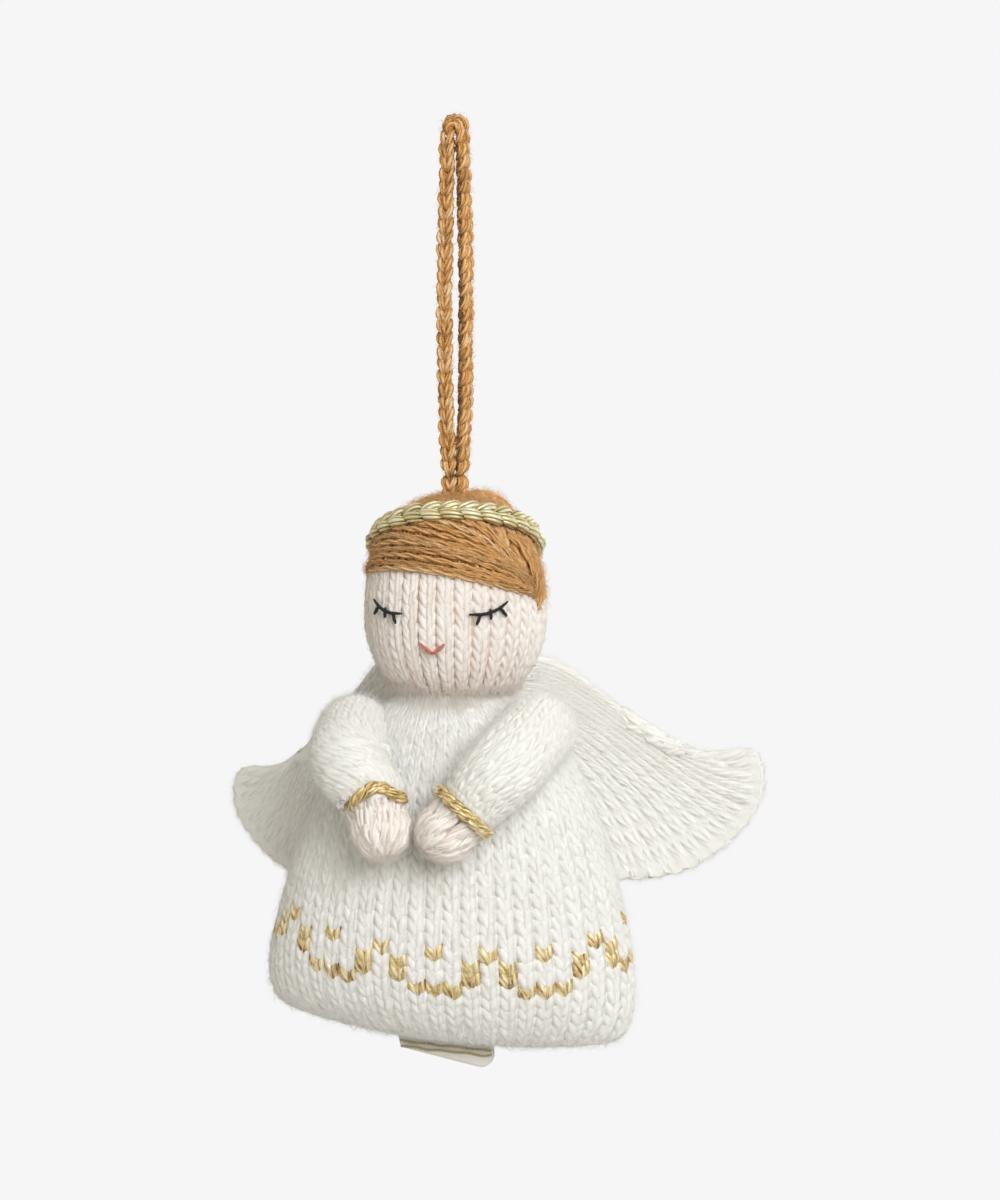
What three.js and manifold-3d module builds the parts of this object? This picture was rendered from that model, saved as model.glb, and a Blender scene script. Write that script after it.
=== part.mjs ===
// Knitted angel ornament that hangs on a crocheted loop.
// Millimetres, +Z up. The figure faces -Y, and its own left side is +X.
// Heights are measured from the middle of the hem. The finished group hangs from the origin.
import * as THREE from 'three';
import { mergeVertices } from 'three/addons/utils/BufferGeometryUtils.js';
import Module from 'manifold-3d';

const wasm = await Module();
wasm.setup();

// Fabric and fits
const GAP = 0.3;
const FABRIC = 1.8;

// Facets of the round forms
const DRESS_SIDES = 36;
const DRESS_RINGS = 14;
const HEAD_SIDES = 32;
const HEAD_RINGS = 8;
const FILLING_SIDES = 24;
const FILLING_RINGS = 10;
const ARM_SIDES = 16;
const ARM_RINGS = 9;
const BALL_SIDES = 18;
const BALL_RINGS = 12;
const CORD_SIDES = 8;
const THREAD_SIDES = 6;

// Dress: a knitted tube sewn flat at the hem and stuffed
const DRESS_HEIGHT = 69.9;
const DRESS_WIDTH = 75.4;
const DRESS_DEPTH = 36.8;
const NECK_RADIUS = 11.2;
const HEM_SMILE = 4.1;
const HEM_SLANT = 0.075;
const HEM_FADE = 45;
const DRESS_LEAN = -0.018;
// Shares of height, half width and half depth, from the hem to just under the neck
const DRESS_PROFILE = [
  [0, 0.86, 0.11],
  [0.017, 0.94, 0.36],
  [0.055, 0.98, 0.6],
  [0.125, 1, 0.82],
  [0.225, 0.99, 0.955],
  [0.355, 0.945, 1],
  [0.51, 0.875, 0.975],
  [0.68, 0.765, 0.905],
  [0.82, 0.64, 0.815],
  [0.92, 0.515, 0.74],
  [0.975, 0.395, 0.66],
];
const SEAM_RISE = 1.7;
const SEAM_DROP = 0.2;
const SEAM_REACH = 0.86;
const SEAM_STEPS = 16;

// Head: a rounded form turned about Z, squarer above its widest part than below it
const HEAD_WIDTH = 36.4;
const HEAD_DEPTH = 35.6;
const HEAD_LOWER = 19.25;
const HEAD_UPPER = 24.2;
const LOWER_POWER = 2;
const UPPER_POWER = 2.4;
const NECK_THREAD = 0.9;

// Hair
const HAIRLINE_FRONT = 9.2;
const HAIRLINE_FALL_BACK = 7.7;
const HAIRLINE_FALL_LEFT = 2;
const FRINGE_STRANDS = 5;
const FRINGE_FROM = -84;
const FRINGE_TO = 74;
const FRINGE_HEIGHT = 6.4;
const FRINGE_THICK = 1.3;
const FRINGE_TIP = 0.4;
const FRINGE_TUCK = 0.1;
const FRINGE_STEPS = 16;
const BUN_WIDTH = 17;
const BUN_HEIGHT = 16.4;
const BUN_SIDE = 2.5;
const BUN_BACK = 9;
const BUN_SINK = 7.4;

// Halo: a crocheted band on the crown, higher in front than behind and a little higher on its left
const HALO_TALL = 4.6;
const HALO_THICK = 2.2;
const HALO_DROP = 8;
const HALO_SLOPE = 0.42;
const HALO_LEAN = 0.09;
const HALO_STEPS = 44;

// Hanging loop and the knot it is tied in
const CORD = 2.8;
const KNOT_RADIUS = 2.6;
const KNOT_RISE = 0.8;
// Height above the knot, and half the light between the two legs of the loop
const LOOP_LEG = [
  [0, 0.32],
  [4, 0.45],
  [11, 0.58],
  [21, 0.68],
  [33, 0.7],
  [45, 0.65],
  [55, 0.52],
  [63, 0.34],
  [68.9, 0.22],
];

// Face: angles from the front, heights above the widest part of the head
const EYE_THREAD = 0.9;
const EYE_INNER = 21;
const EYE_OUTER = 46;
const EYE_HEIGHT = 1.7;
const EYE_RISE = 2.4;
const EYE_LEVEL = 0.25;
const LID_STEPS = 8;
// Where each lash leaves the lid, where it ends, and how far it falls
const LASHES = [
  [28, 25.5, -2],
  [34, 34.5, -2],
  [40.5, 45, -1.7],
];
const MOUTH_THREAD = 0.9;
const MOUTH_HALF = 7.2;
const MOUTH_SIDE = -1.5;
const MOUTH_HEIGHT = -4.1;
const MOUTH_DIP = 1.6;
const MOUTH_STEPS = 6;

// Arms: sleeves that leave the shoulders and meet in front
const SHOULDER_RADIUS = 7.3;
const ELBOW_RADIUS = 7.6;
const WRIST_RADIUS = 6.3;
const SLEEVE_FABRIC = 1.5;
const SHOULDER_CAP = [78, 52, 26];
const HAND_RADIUS = 6.25;
const HAND_END = [0, 25, 48, 72];
const HAND_DROP = 24.4;
const HANDS_MEET = -2.9;
const WRIST_RISE = 4;
const WRIST_STRAIGHT = 3;
const WRIST_SHARE = 0.86;
const CUFF_THREAD = 1.5;
const CUFF_HALF_TURN = 84;
const CUFF_STEPS = 14;
// Drop below the neck and angle from the front of two stations, how far the shoulder stands off the dress,
// and how far the wrist turns inward
const ARMS = [
  { side: 'left', sign: 1, shoulder: [7, 57], elbow: [14.5, 28], stand: 3.2, inward: 1 },
  { side: 'right', sign: -1, shoulder: [7.5, -57], elbow: [14, -33.5], stand: 1.5, inward: 0.55 },
];

// Wings: ribbed fans gathered behind the neck
const WING_RIBS = 17;
const WING_FABRIC = 1.8;
const RIB_WAVE = 0.7;
const RIB_SCALLOP = 0.7;
const RIB_GROWN = 0.35;
const RIB_STEPS = 7;
const WING_ROOT_SIDE = 3.6;
const WING_ROOT_RISE = 2.5;
const WING_ROOT_FALL = 8.5;
const WING_STAND = 0.2;
const WING_SWEEP = 0.24;
const WING_BOW = 1.6;
// Ribs of a wing, as side and height above the neck: two guides each for the first, middle and last rib
const TOP_GUIDES = [[20, 17], [30.5, -24.5]];
const MIDDLE_GUIDES = [[14, 1], [43, -12]];
const BOTTOM_GUIDES = [[8, -15.5], [14, -24.5]];
// Scalloped edge, where the ribs end
const WING_EDGE = [
  [55.4, -14.3],
  [56.2, -23.5],
  [51, -32],
  [41.5, -38.6],
  [29, -40.3],
  [17, -37.4],
];
// How far each wing is turned up from level where it is sewn on, and how far its first rib puckers up
const WINGS = [
  { side: 'left', sign: 1, lift: 2.5, pucker: 0 },
  { side: 'right', sign: -1, lift: -4.5, pucker: 9 },
];
const BINDING_DEPTH = 8.8;
const BINDING_HEIGHT = 13;

// Label: folded tape in the hem seam
const LABEL_WIDTH = 19.4;
const LABEL_DROP = 4.8;
const LABEL_TAPE = 0.4;
const LABEL_FOLD = 0.15;
const LABEL_SIDE = -0.9;
const LABEL_GAP = 0.5;

const COLOURS = {
  caramel: { color: 0xb97f3c, roughness: 0.95, metalness: 0 },
  skin: { color: 0xefe6e2, roughness: 0.95, metalness: 0 },
  white: { color: 0xf4f1ea, roughness: 0.97, metalness: 0 },
  gold: { color: 0xc9a75c, roughness: 0.5, metalness: 0.5 },
  paleGold: { color: 0xd4c48a, roughness: 0.45, metalness: 0.5 },
  black: { color: 0x2b2b2b, roughness: 0.8, metalness: 0 },
  coral: { color: 0xe8735f, roughness: 0.8, metalness: 0 },
  filling: { color: 0xf7f7f4, roughness: 1, metalness: 0 },
  cotton: { color: 0xd9d3c4, roughness: 0.9, metalness: 0 },
};

const radians = THREE.MathUtils.degToRad;
const lerp = THREE.MathUtils.lerp;
const vec = (x, y, z) => new THREE.Vector3(x, y, z);

function indexedGeometry(points, triangles) {
  let volume = 0;
  for (let i = 0; i < triangles.length; i += 3) {
    const [a, b, c] = [0, 1, 2].map((k) => points[triangles[i + k]]);
    volume += a.dot(b.clone().cross(c));
  }
  const outward = [...triangles];
  if (volume < 0) {
    outward.reverse();
  }
  const geometry = new THREE.BufferGeometry();
  const positions = points.flatMap((p) => p.toArray());
  geometry.setAttribute('position', new THREE.Float32BufferAttribute(positions, 3));
  geometry.setIndex(outward);
  geometry.computeVertexNormals();
  return geometry;
}

// Solid through rings of equal count: a closed circuit of rings, or a run with both ends capped
function ringSolid(rings, circuit = false) {
  const count = rings[0].length;
  const points = rings.flat();
  const triangles = [];
  const spans = circuit ? rings.length : rings.length - 1;
  for (let r = 0; r < spans; r += 1) {
    const here = r * count;
    const next = ((r + 1) % rings.length) * count;
    for (let k = 0; k < count; k += 1) {
      const j = (k + 1) % count;
      triangles.push(here + k, here + j, next + j, here + k, next + j, next + k);
    }
  }
  if (!circuit) {
    for (const [ring, start, flip] of [[rings[0], 0, true], [rings.at(-1), spans * count, false]]) {
      const centre = points.length;
      points.push(ring.reduce((sum, p) => sum.add(p), vec(0, 0, 0)).divideScalar(count));
      for (let k = 0; k < count; k += 1) {
        const j = (k + 1) % count;
        triangles.push(...(flip ? [centre, start + j, start + k] : [centre, start + k, start + j]));
      }
    }
  }
  return indexedGeometry(points, triangles);
}

// Solid between a front and a back grid of points, closed round its four edges
function sheetSolid(front, back) {
  const rows = front.length;
  const columns = front[0].length;
  const points = [...front.flat(), ...back.flat()];
  const at = (layer, row, column) => (layer * rows + row) * columns + column;
  const triangles = [];
  const quad = (a, b, c, d) => triangles.push(a, b, c, a, c, d);
  for (let r = 0; r < rows - 1; r += 1) {
    for (let c = 0; c < columns - 1; c += 1) {
      quad(at(0, r, c), at(0, r, c + 1), at(0, r + 1, c + 1), at(0, r + 1, c));
      quad(at(1, r, c), at(1, r + 1, c), at(1, r + 1, c + 1), at(1, r, c + 1));
    }
    const end = columns - 1;
    quad(at(0, r, 0), at(0, r + 1, 0), at(1, r + 1, 0), at(1, r, 0));
    quad(at(0, r + 1, end), at(0, r, end), at(1, r, end), at(1, r + 1, end));
  }
  for (let c = 0; c < columns - 1; c += 1) {
    const end = rows - 1;
    quad(at(0, 0, c + 1), at(0, 0, c), at(1, 0, c), at(1, 0, c + 1));
    quad(at(0, end, c), at(0, end, c + 1), at(1, end, c + 1), at(1, end, c));
  }
  return indexedGeometry(points, triangles);
}

function toSolid(geometry) {
  const bare = geometry.clone();
  bare.deleteAttribute('normal');
  bare.deleteAttribute('uv');
  const merged = mergeVertices(bare);
  const vertProperties = Float32Array.from(merged.attributes.position.array);
  const triVerts = Uint32Array.from(merged.index.array);
  return new wasm.Manifold(new wasm.Mesh({ numProp: 3, vertProperties, triVerts }));
}

function toGeometry(solid) {
  const { vertProperties, triVerts } = solid.getMesh();
  const geometry = new THREE.BufferGeometry();
  geometry.setAttribute('position', new THREE.BufferAttribute(vertProperties, 3));
  geometry.setIndex(new THREE.BufferAttribute(triVerts, 1));
  geometry.computeVertexNormals();
  return geometry;
}

function cut(geometry, ...tools) {
  return toGeometry(tools.map(toSolid).reduce((left, tool) => left.subtract(tool), toSolid(geometry)));
}

function join(...parts) {
  return toGeometry(parts.map(toSolid).reduce((whole, part) => whole.add(part)));
}

function mesh(name, geometry, colour) {
  const made = new THREE.Mesh(geometry, new THREE.MeshStandardMaterial(COLOURS[colour]));
  made.name = name;
  return made;
}

// Ring of points on an ellipse whose half axes are the two given vectors
function ellipseRing(centre, first, second, sides) {
  return Array.from({ length: sides }, (unused, k) => {
    const turn = (2 * Math.PI * k) / sides;
    return centre.clone().addScaledVector(first, Math.cos(turn)).addScaledVector(second, Math.sin(turn));
  });
}

// Round tube through points, with one radius for each point, framed by a steady side direction
function tube(points, radii, sides, steady) {
  const last = points.length - 1;
  const rings = points.map((point, i) => {
    const next = points[Math.min(i + 1, last)];
    const along = next.clone().sub(points[Math.max(i - 1, 0)]).normalize();
    const first = steady.clone().addScaledVector(along, -steady.dot(along)).normalize();
    const second = along.clone().cross(first);
    return ellipseRing(point, first.multiplyScalar(radii[i]), second.multiplyScalar(radii[i]), sides);
  });
  return ringSolid(rings);
}

// Dress surface
const dressScale = vec(DRESS_WIDTH / 2, DRESS_DEPTH / 2, DRESS_HEIGHT);
const dressCurve = new THREE.CatmullRomCurve3([
  ...DRESS_PROFILE.map(([height, width, depth]) => vec(width, depth, height).multiply(dressScale)),
  vec(NECK_RADIUS, NECK_RADIUS, DRESS_HEIGHT),
]);

const HEM_SHIFT = DRESS_LEAN * DRESS_HEIGHT;

// Rise of the hem at a distance from the dress's own middle
function hemLift(x, z) {
  const fade = Math.max(0, 1 - z / HEM_FADE) ** 2;
  return fade * (HEM_SMILE * (x / (DRESS_WIDTH / 2)) ** 2 - HEM_SLANT * x);
}

// Point at share u of the way from hem to neck, at an angle from the front, moved inward by inset
function dressPoint(u, angle, inset = 0) {
  const p = dressCurve.getPoint(u);
  const step = dressCurve.getTangent(u);
  const wide = vec(step.z, 0, -step.x).normalize();
  const deep = vec(step.z, 0, -step.y).normalize();
  const halfWidth = p.x - inset * wide.x;
  const halfDepth = Math.max(p.y - inset * deep.x, GAP);
  const sine = Math.sin(radians(angle));
  const cosine = Math.cos(radians(angle));
  const x = halfWidth * sine;
  const z = p.z - inset * (wide.z * sine ** 2 + deep.z * cosine ** 2);
  const lean = DRESS_LEAN * (DRESS_HEIGHT - z);
  return vec(x + lean, -halfDepth * cosine, z + hemLift(x, z));
}

function dressRing(u, inset, sides) {
  return Array.from({ length: sides }, (unused, k) => dressPoint(u, (360 * k) / sides, inset));
}

function dressNormal(u, angle) {
  const round = dressPoint(u, angle + 0.5).sub(dressPoint(u, angle - 0.5));
  const up = dressPoint(u + 0.005, angle).sub(dressPoint(u - 0.005, angle));
  return round.cross(up).normalize();
}

// Share of the way up the dress where its profile reaches a height
function dressShare(height) {
  let low = 0;
  let high = 1;
  for (let i = 0; i < 30; i += 1) {
    const middle = (low + high) / 2;
    if (dressCurve.getPoint(middle).z < height) {
      low = middle;
    } else {
      high = middle;
    }
  }
  return low;
}

const upwards = (count) => Array.from({ length: count + 1 }, (unused, i) => i / count);

function dressSolid(inset, rings = DRESS_RINGS, sides = DRESS_SIDES) {
  return ringSolid(upwards(rings).map((u) => dressRing(u, inset, sides)));
}

function dress() {
  const outer = upwards(DRESS_RINGS).map((u) => dressRing(u, 0, DRESS_SIDES));
  const inner = upwards(DRESS_RINGS).map((u) => dressRing(u, FABRIC, DRESS_SIDES));
  return ringSolid([...outer, ...inner.reverse()], true);
}

function bodyFilling() {
  return dressSolid(FABRIC + GAP, FILLING_RINGS, FILLING_SIDES);
}

function hemSeam() {
  const rim = dressCurve.getPoint(0);
  const reach = SEAM_REACH * rim.x;
  const middle = (SEAM_RISE - SEAM_DROP) / 2;
  const half = (SEAM_RISE + SEAM_DROP) / 2;
  const rings = upwards(SEAM_STEPS).map((share) => {
    const x = lerp(-reach, reach, share);
    const slit = rim.y * Math.sqrt(1 - (x / rim.x) ** 2) - GAP;
    const centre = vec(x + HEM_SHIFT, 0, hemLift(x, 0) + middle);
    return ellipseRing(centre, vec(0, slit, 0), vec(0, 0, half), CORD_SIDES);
  });
  return ringSolid(rings);
}

// Head surface, between the opening of the neck and the one left in the crown
const HEAD_RADIUS = HEAD_WIDTH / 2;
const HEAD_FLATTEN = HEAD_DEPTH / HEAD_WIDTH;
const NECK_SHARE = (1 - (NECK_RADIUS / HEAD_RADIUS) ** LOWER_POWER) ** (1 / LOWER_POWER);
const HEAD_Z = DRESS_HEIGHT + 2 * GAP + HEAD_LOWER * NECK_SHARE;
const CROWN_Z = HEAD_Z + HEAD_UPPER;

// Profile angle runs from -90 at the chin to 90 at the crown
function headProfile(angle) {
  const power = angle < 0 ? LOWER_POWER : UPPER_POWER;
  const reach = angle < 0 ? -HEAD_LOWER : HEAD_UPPER;
  const radius = HEAD_RADIUS * Math.cos(radians(angle)) ** (2 / power);
  return new THREE.Vector2(radius, HEAD_Z + reach * Math.sin(radians(Math.abs(angle))) ** (2 / power));
}

function headAngle(z) {
  const power = z < HEAD_Z ? LOWER_POWER : UPPER_POWER;
  const reach = z < HEAD_Z ? HEAD_LOWER : HEAD_UPPER;
  const share = Math.min(Math.abs(z - HEAD_Z) / reach, 1);
  return Math.sign(z - HEAD_Z) * THREE.MathUtils.radToDeg(Math.asin(share ** (power / 2)));
}

function headNormal(angle) {
  const above = headProfile(Math.min(angle + 0.5, 90));
  const step = above.sub(headProfile(Math.max(angle - 0.5, -90)));
  return new THREE.Vector2(step.y, -step.x).normalize();
}

// Point at a profile angle and an angle round from the front, moved outward by lift
function headPoint(angle, round, lift = 0) {
  const p = headProfile(angle).addScaledVector(headNormal(angle), lift);
  const sine = Math.sin(radians(round));
  const cosine = Math.cos(radians(round));
  return vec(p.x * sine, -HEAD_FLATTEN * p.x * cosine, p.y);
}

const headPointAt = (z, round, lift) => headPoint(headAngle(z), round, lift);
const NECK_ANGLE = headAngle(DRESS_HEIGHT + 2 * GAP);
const CROWN_ANGLE = 88;

function hairlineZ(round) {
  const back = (HAIRLINE_FALL_BACK * (1 - Math.cos(radians(round)))) / 2;
  return HEAD_Z + HAIRLINE_FRONT - back - HAIRLINE_FALL_LEFT * Math.sin(radians(round));
}

// Wall of the head between two profile angles that may vary round the head
function headWall(from, to) {
  const ring = (share, lift) => Array.from({ length: HEAD_SIDES }, (unused, k) => {
    const round = (360 * k) / HEAD_SIDES;
    return headPoint(lerp(from(round), to(round), share), round, lift);
  });
  const outer = upwards(HEAD_RINGS).map((share) => ring(share, 0));
  const inner = upwards(HEAD_RINGS).map((share) => ring(share, -FABRIC));
  return ringSolid([...outer, ...inner.reverse()], true);
}

function headSolid(lift, rings = 2 * HEAD_RINGS, sides = HEAD_SIDES) {
  const ring = (share) => Array.from({ length: sides }, (unused, k) => (
    headPoint(lerp(NECK_ANGLE, CROWN_ANGLE, share), (360 * k) / sides, lift)
  ));
  return ringSolid(upwards(rings).map(ring));
}

// The knot sits in the opening of the crown
const KNOT_Z = CROWN_Z + KNOT_RISE;
const KNOT_SEAT = KNOT_RADIUS + GAP;

function knotBall(radius) {
  const ball = new THREE.SphereGeometry(radius, BALL_SIDES, BALL_RINGS).rotateX(Math.PI / 2);
  return ball.translate(0, 0, KNOT_Z);
}

function headSkin() {
  return headWall(() => NECK_ANGLE, (round) => headAngle(hairlineZ(round) - GAP / 2));
}

function hairCap() {
  const wall = headWall((round) => headAngle(hairlineZ(round) + GAP / 2), () => CROWN_ANGLE);
  return cut(wall, knotBall(KNOT_SEAT));
}

function headFilling() {
  return cut(headSolid(-FABRIC - GAP, FILLING_RINGS, FILLING_SIDES), knotBall(KNOT_SEAT));
}

function neckThread() {
  const ring = new THREE.TorusGeometry(NECK_RADIUS + NECK_THREAD, NECK_THREAD / 2, THREAD_SIDES, DRESS_SIDES);
  ring.translate(0, 0, DRESS_HEIGHT + GAP);
  return cut(ring, dressSolid(-GAP), headSolid(GAP));
}

// Band of strands over the forehead, ridged outside, pinched together at its left end
function hairFringe() {
  const ridge = (across) => lerp(0.5, 1, Math.abs(Math.sin(Math.PI * FRINGE_STRANDS * across)));
  const tuck = (along) => Math.sin(Math.PI * lerp(FRINGE_TUCK, 1 - FRINGE_TUCK, along));
  const grid = (thick) => upwards(FRINGE_STEPS).map((along) => {
    const round = lerp(FRINGE_FROM, FRINGE_TO, along);
    const height = FRINGE_HEIGHT * lerp(1, FRINGE_TIP, along ** 4);
    return upwards(FRINGE_STRANDS * 3).map((across) => {
      const lift = GAP + thick * tuck(along) * ridge(across);
      return headPointAt(hairlineZ(round) + across * height, round, lift);
    });
  });
  return sheetSolid(grid(FRINGE_THICK), grid(0));
}

// Height where the tilted plane of the halo meets the head
function haloZ(round) {
  let z = CROWN_Z - HALO_DROP;
  for (let i = 0; i < 30; i += 1) {
    const point = headPointAt(z, round);
    z = CROWN_Z - HALO_DROP - HALO_SLOPE * point.y + HALO_LEAN * point.x;
  }
  return z;
}

function halo(grow = 0) {
  const at = (k, lift) => {
    const round = (360 * k) / HALO_STEPS;
    return headPointAt(haloZ(round), round, lift);
  };
  const middle = GAP + HALO_THICK / 2;
  const rings = Array.from({ length: HALO_STEPS }, (unused, k) => {
    const centre = at(k, middle);
    const out = at(k, middle + 1).sub(centre).normalize();
    const along = at(k + 1, middle).sub(at(k - 1, middle)).normalize();
    const up = along.cross(out).normalize();
    out.multiplyScalar(HALO_THICK / 2 + grow);
    return ellipseRing(centre, out, up.multiplyScalar(HALO_TALL / 2 + grow), CORD_SIDES);
  });
  return ringSolid(rings, true);
}

function hairBun() {
  const ball = new THREE.SphereGeometry(1, BALL_SIDES, BALL_RINGS).rotateX(Math.PI / 2);
  ball.scale(BUN_WIDTH / 2, BUN_WIDTH / 2, BUN_HEIGHT / 2);
  ball.translate(BUN_SIDE, BUN_BACK, CROWN_Z - BUN_SINK);
  return cut(ball, headSolid(GAP), halo(GAP), knotBall(KNOT_SEAT));
}

// Loop: up one leg, round the turn and down the other
const LOOP_Z = KNOT_Z + KNOT_SEAT;
const [TURN_RISE, TURN_LIGHT] = LOOP_LEG.at(-1);
const TURN_Z = LOOP_Z + TURN_RISE;
const LOOP_TURN = TURN_LIGHT + CORD / 2;
const TURN_STEPS = 8;
const HANG_Z = TURN_Z + TURN_LIGHT;

function hangingLoop() {
  const leg = LOOP_LEG.map(([height, light]) => vec(-light - CORD / 2, 0, LOOP_Z + height));
  const turn = Array.from({ length: TURN_STEPS - 1 }, (unused, k) => {
    const angle = (Math.PI * (k + 1)) / TURN_STEPS;
    return vec(-LOOP_TURN * Math.cos(angle), 0, TURN_Z + LOOP_TURN * Math.sin(angle));
  });
  const back = leg.map((p) => vec(-p.x, 0, p.z)).reverse();
  const route = [...leg, ...turn, ...back];
  return tube(route, route.map(() => CORD / 2), CORD_SIDES, vec(0, 1, 0));
}

// Thread laid on the head through heights above its widest part
function faceThread(stations, thread) {
  const lift = GAP + thread / 2;
  const points = stations.map(([round, height]) => headPointAt(HEAD_Z + height, round, lift));
  const middle = points[Math.floor(points.length / 2)];
  const outward = vec(middle.x, middle.y, 0).normalize();
  return tube(points, points.map(() => thread / 2), THREAD_SIDES, outward);
}

// The inner part of the lid is level and the rest curves up
function lidHeight(share) {
  return EYE_HEIGHT + EYE_RISE * Math.max(0, (share - EYE_LEVEL) / (1 - EYE_LEVEL)) ** 2;
}

function eye(sign) {
  const lid = upwards(LID_STEPS).map((s) => [sign * lerp(EYE_INNER, EYE_OUTER, s), lidHeight(s)]);
  const lashes = LASHES.map(([from, to, fall]) => {
    const start = lidHeight((from - EYE_INNER) / (EYE_OUTER - EYE_INNER));
    return faceThread([[sign * from, start], [sign * to, start + fall]], EYE_THREAD);
  });
  return join(faceThread(lid, EYE_THREAD), ...lashes);
}

function mouth() {
  const stations = upwards(MOUTH_STEPS).map((share) => {
    const across = 2 * share - 1;
    return [MOUTH_SIDE + MOUTH_HALF * across, MOUTH_HEIGHT - MOUTH_DIP * (1 - across ** 2)];
  });
  return faceThread(stations, MOUTH_THREAD);
}

// Arm: its route leaves the shoulder, rides on the dress and ends in the hand
function armRoute({ sign, shoulder, elbow, stand, inward }) {
  const seat = ([drop, angle]) => {
    const u = dressShare(DRESS_HEIGHT - drop);
    return { point: dressPoint(u, angle), out: dressNormal(u, angle) };
  };
  const top = seat(shoulder);
  const bend = seat(elbow);
  const handX = HANDS_MEET + sign * (HAND_RADIUS + GAP);
  const handU = dressShare(DRESS_HEIGHT - HAND_DROP);
  const handAngle = THREE.MathUtils.radToDeg(Math.asin(handX / dressCurve.getPoint(handU).x));
  const belly = dressPoint(handU, handAngle);
  const clear = (HAND_RADIUS + GAP) / Math.abs(dressNormal(handU, handAngle).y);
  const hand = vec(handX, belly.y - clear, belly.z);
  const start = top.point.clone().addScaledVector(top.out, stand);
  const middle = bend.point.clone().addScaledVector(bend.out, ELBOW_RADIUS + GAP);
  const reach = hand.clone().sub(middle).multiply(vec(inward, 1, 1)).normalize();
  const wrist = hand.clone().addScaledVector(reach, -WRIST_RISE);
  const forearm = wrist.clone().addScaledVector(reach, -WRIST_STRAIGHT);
  const curve = new THREE.CatmullRomCurve3([start, middle, forearm, wrist]);
  return { top, start, hand, reach, wrist, curve };
}

// Round-ended tube along the arm, drawn in by inset and run on past the wrist by extra
function armTube({ start, curve, reach, wrist }, inset, extra) {
  const away = curve.getTangent(0).negate();
  const end = SHOULDER_RADIUS - inset;
  const cap = SHOULDER_CAP.map((angle) => ({
    point: start.clone().addScaledVector(away, end * Math.sin(radians(angle))),
    radius: end * Math.cos(radians(angle)),
  }));
  const radii = [SHOULDER_RADIUS, ELBOW_RADIUS, WRIST_RADIUS, WRIST_RADIUS];
  const swell = new THREE.SplineCurve(radii.map((radius, i) => new THREE.Vector2(i, radius)));
  const run = upwards(ARM_RINGS).map((share) => ({
    point: curve.getPoint(share),
    radius: swell.getPoint(share).y - inset,
  }));
  const stations = [...cap, ...run];
  if (extra > 0) {
    stations.push({ point: wrist.clone().addScaledVector(reach, extra), radius: WRIST_RADIUS - inset });
  }
  return tube(stations.map((s) => s.point), stations.map((s) => s.radius), ARM_SIDES, vec(0, 0, 1));
}

function handKnob({ hand, reach }) {
  const profile = [
    [GAP - WRIST_RISE, WRIST_SHARE],
    [-WRIST_RISE / 2, (1 + WRIST_SHARE) / 2],
    ...HAND_END.map((angle) => [HAND_RADIUS * Math.sin(radians(angle)), Math.cos(radians(angle))]),
  ];
  const points = profile.map(([along]) => hand.clone().addScaledVector(reach, along));
  return tube(points, profile.map(([, share]) => share * HAND_RADIUS), ARM_SIDES, vec(0, 0, 1));
}

function cuff({ wrist, reach }) {
  const centre = wrist.clone().addScaledVector(reach, -CUFF_THREAD / 2 - GAP);
  const out = vec(0, -1, 0).addScaledVector(reach, reach.y).normalize();
  const across = reach.clone().cross(out);
  const radius = WRIST_RADIUS + GAP + CUFF_THREAD / 2;
  const points = upwards(CUFF_STEPS).map((share) => {
    const angle = radians(lerp(-CUFF_HALF_TURN, CUFF_HALF_TURN, share));
    return centre.clone()
      .addScaledVector(out, radius * Math.cos(angle))
      .addScaledVector(across, radius * Math.sin(angle));
  });
  return tube(points, points.map(() => CUFF_THREAD / 2), THREAD_SIDES, reach);
}

function arm(spec) {
  const route = armRoute(spec);
  const group = new THREE.Group();
  const clear = [dressSolid(-GAP), headSolid(GAP)];
  const sleeve = cut(armTube(route, 0, 0), armTube(route, SLEEVE_FABRIC, FABRIC), ...clear);
  const filling = cut(armTube(route, SLEEVE_FABRIC + GAP, 0), ...clear);
  group.add(
    mesh(`${spec.side}_sleeve`, sleeve, 'white'),
    mesh(`${spec.side}_arm_filling`, filling, 'filling'),
    mesh(`${spec.side}_hand`, handKnob(route), 'skin'),
    mesh(`${spec.side}_cuff`, cuff(route), 'gold'),
  );
  // The arm lifts about the far edge of its shoulder seam
  const { point, out } = route.top;
  const along = route.curve.getTangent(0);
  const flat = along.clone().addScaledVector(out, -along.dot(out)).normalize();
  const seam = Math.sqrt(SHOULDER_RADIUS ** 2 - spec.stand ** 2);
  group.userData.pivot = point.clone().addScaledVector(flat, -seam).addScaledVector(out, GAP);
  group.userData.axis = flat.clone().cross(out);
  return group;
}

// Wing: ribs run from the gathered root to the scalloped edge
const WING_ROOT_BACK = HEAD_DEPTH / 2 + WING_STAND;
const WING_ROOT_Z = DRESS_HEIGHT + (WING_ROOT_RISE - WING_ROOT_FALL) / 2;
const flatPoint = ([x, z]) => new THREE.Vector2(x, DRESS_HEIGHT + z);
const wingEdge = new THREE.SplineCurve(WING_EDGE.map(flatPoint));
const WING_ROOT = [[WING_ROOT_SIDE, WING_ROOT_RISE], [WING_ROOT_SIDE, -WING_ROOT_FALL]];

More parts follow.
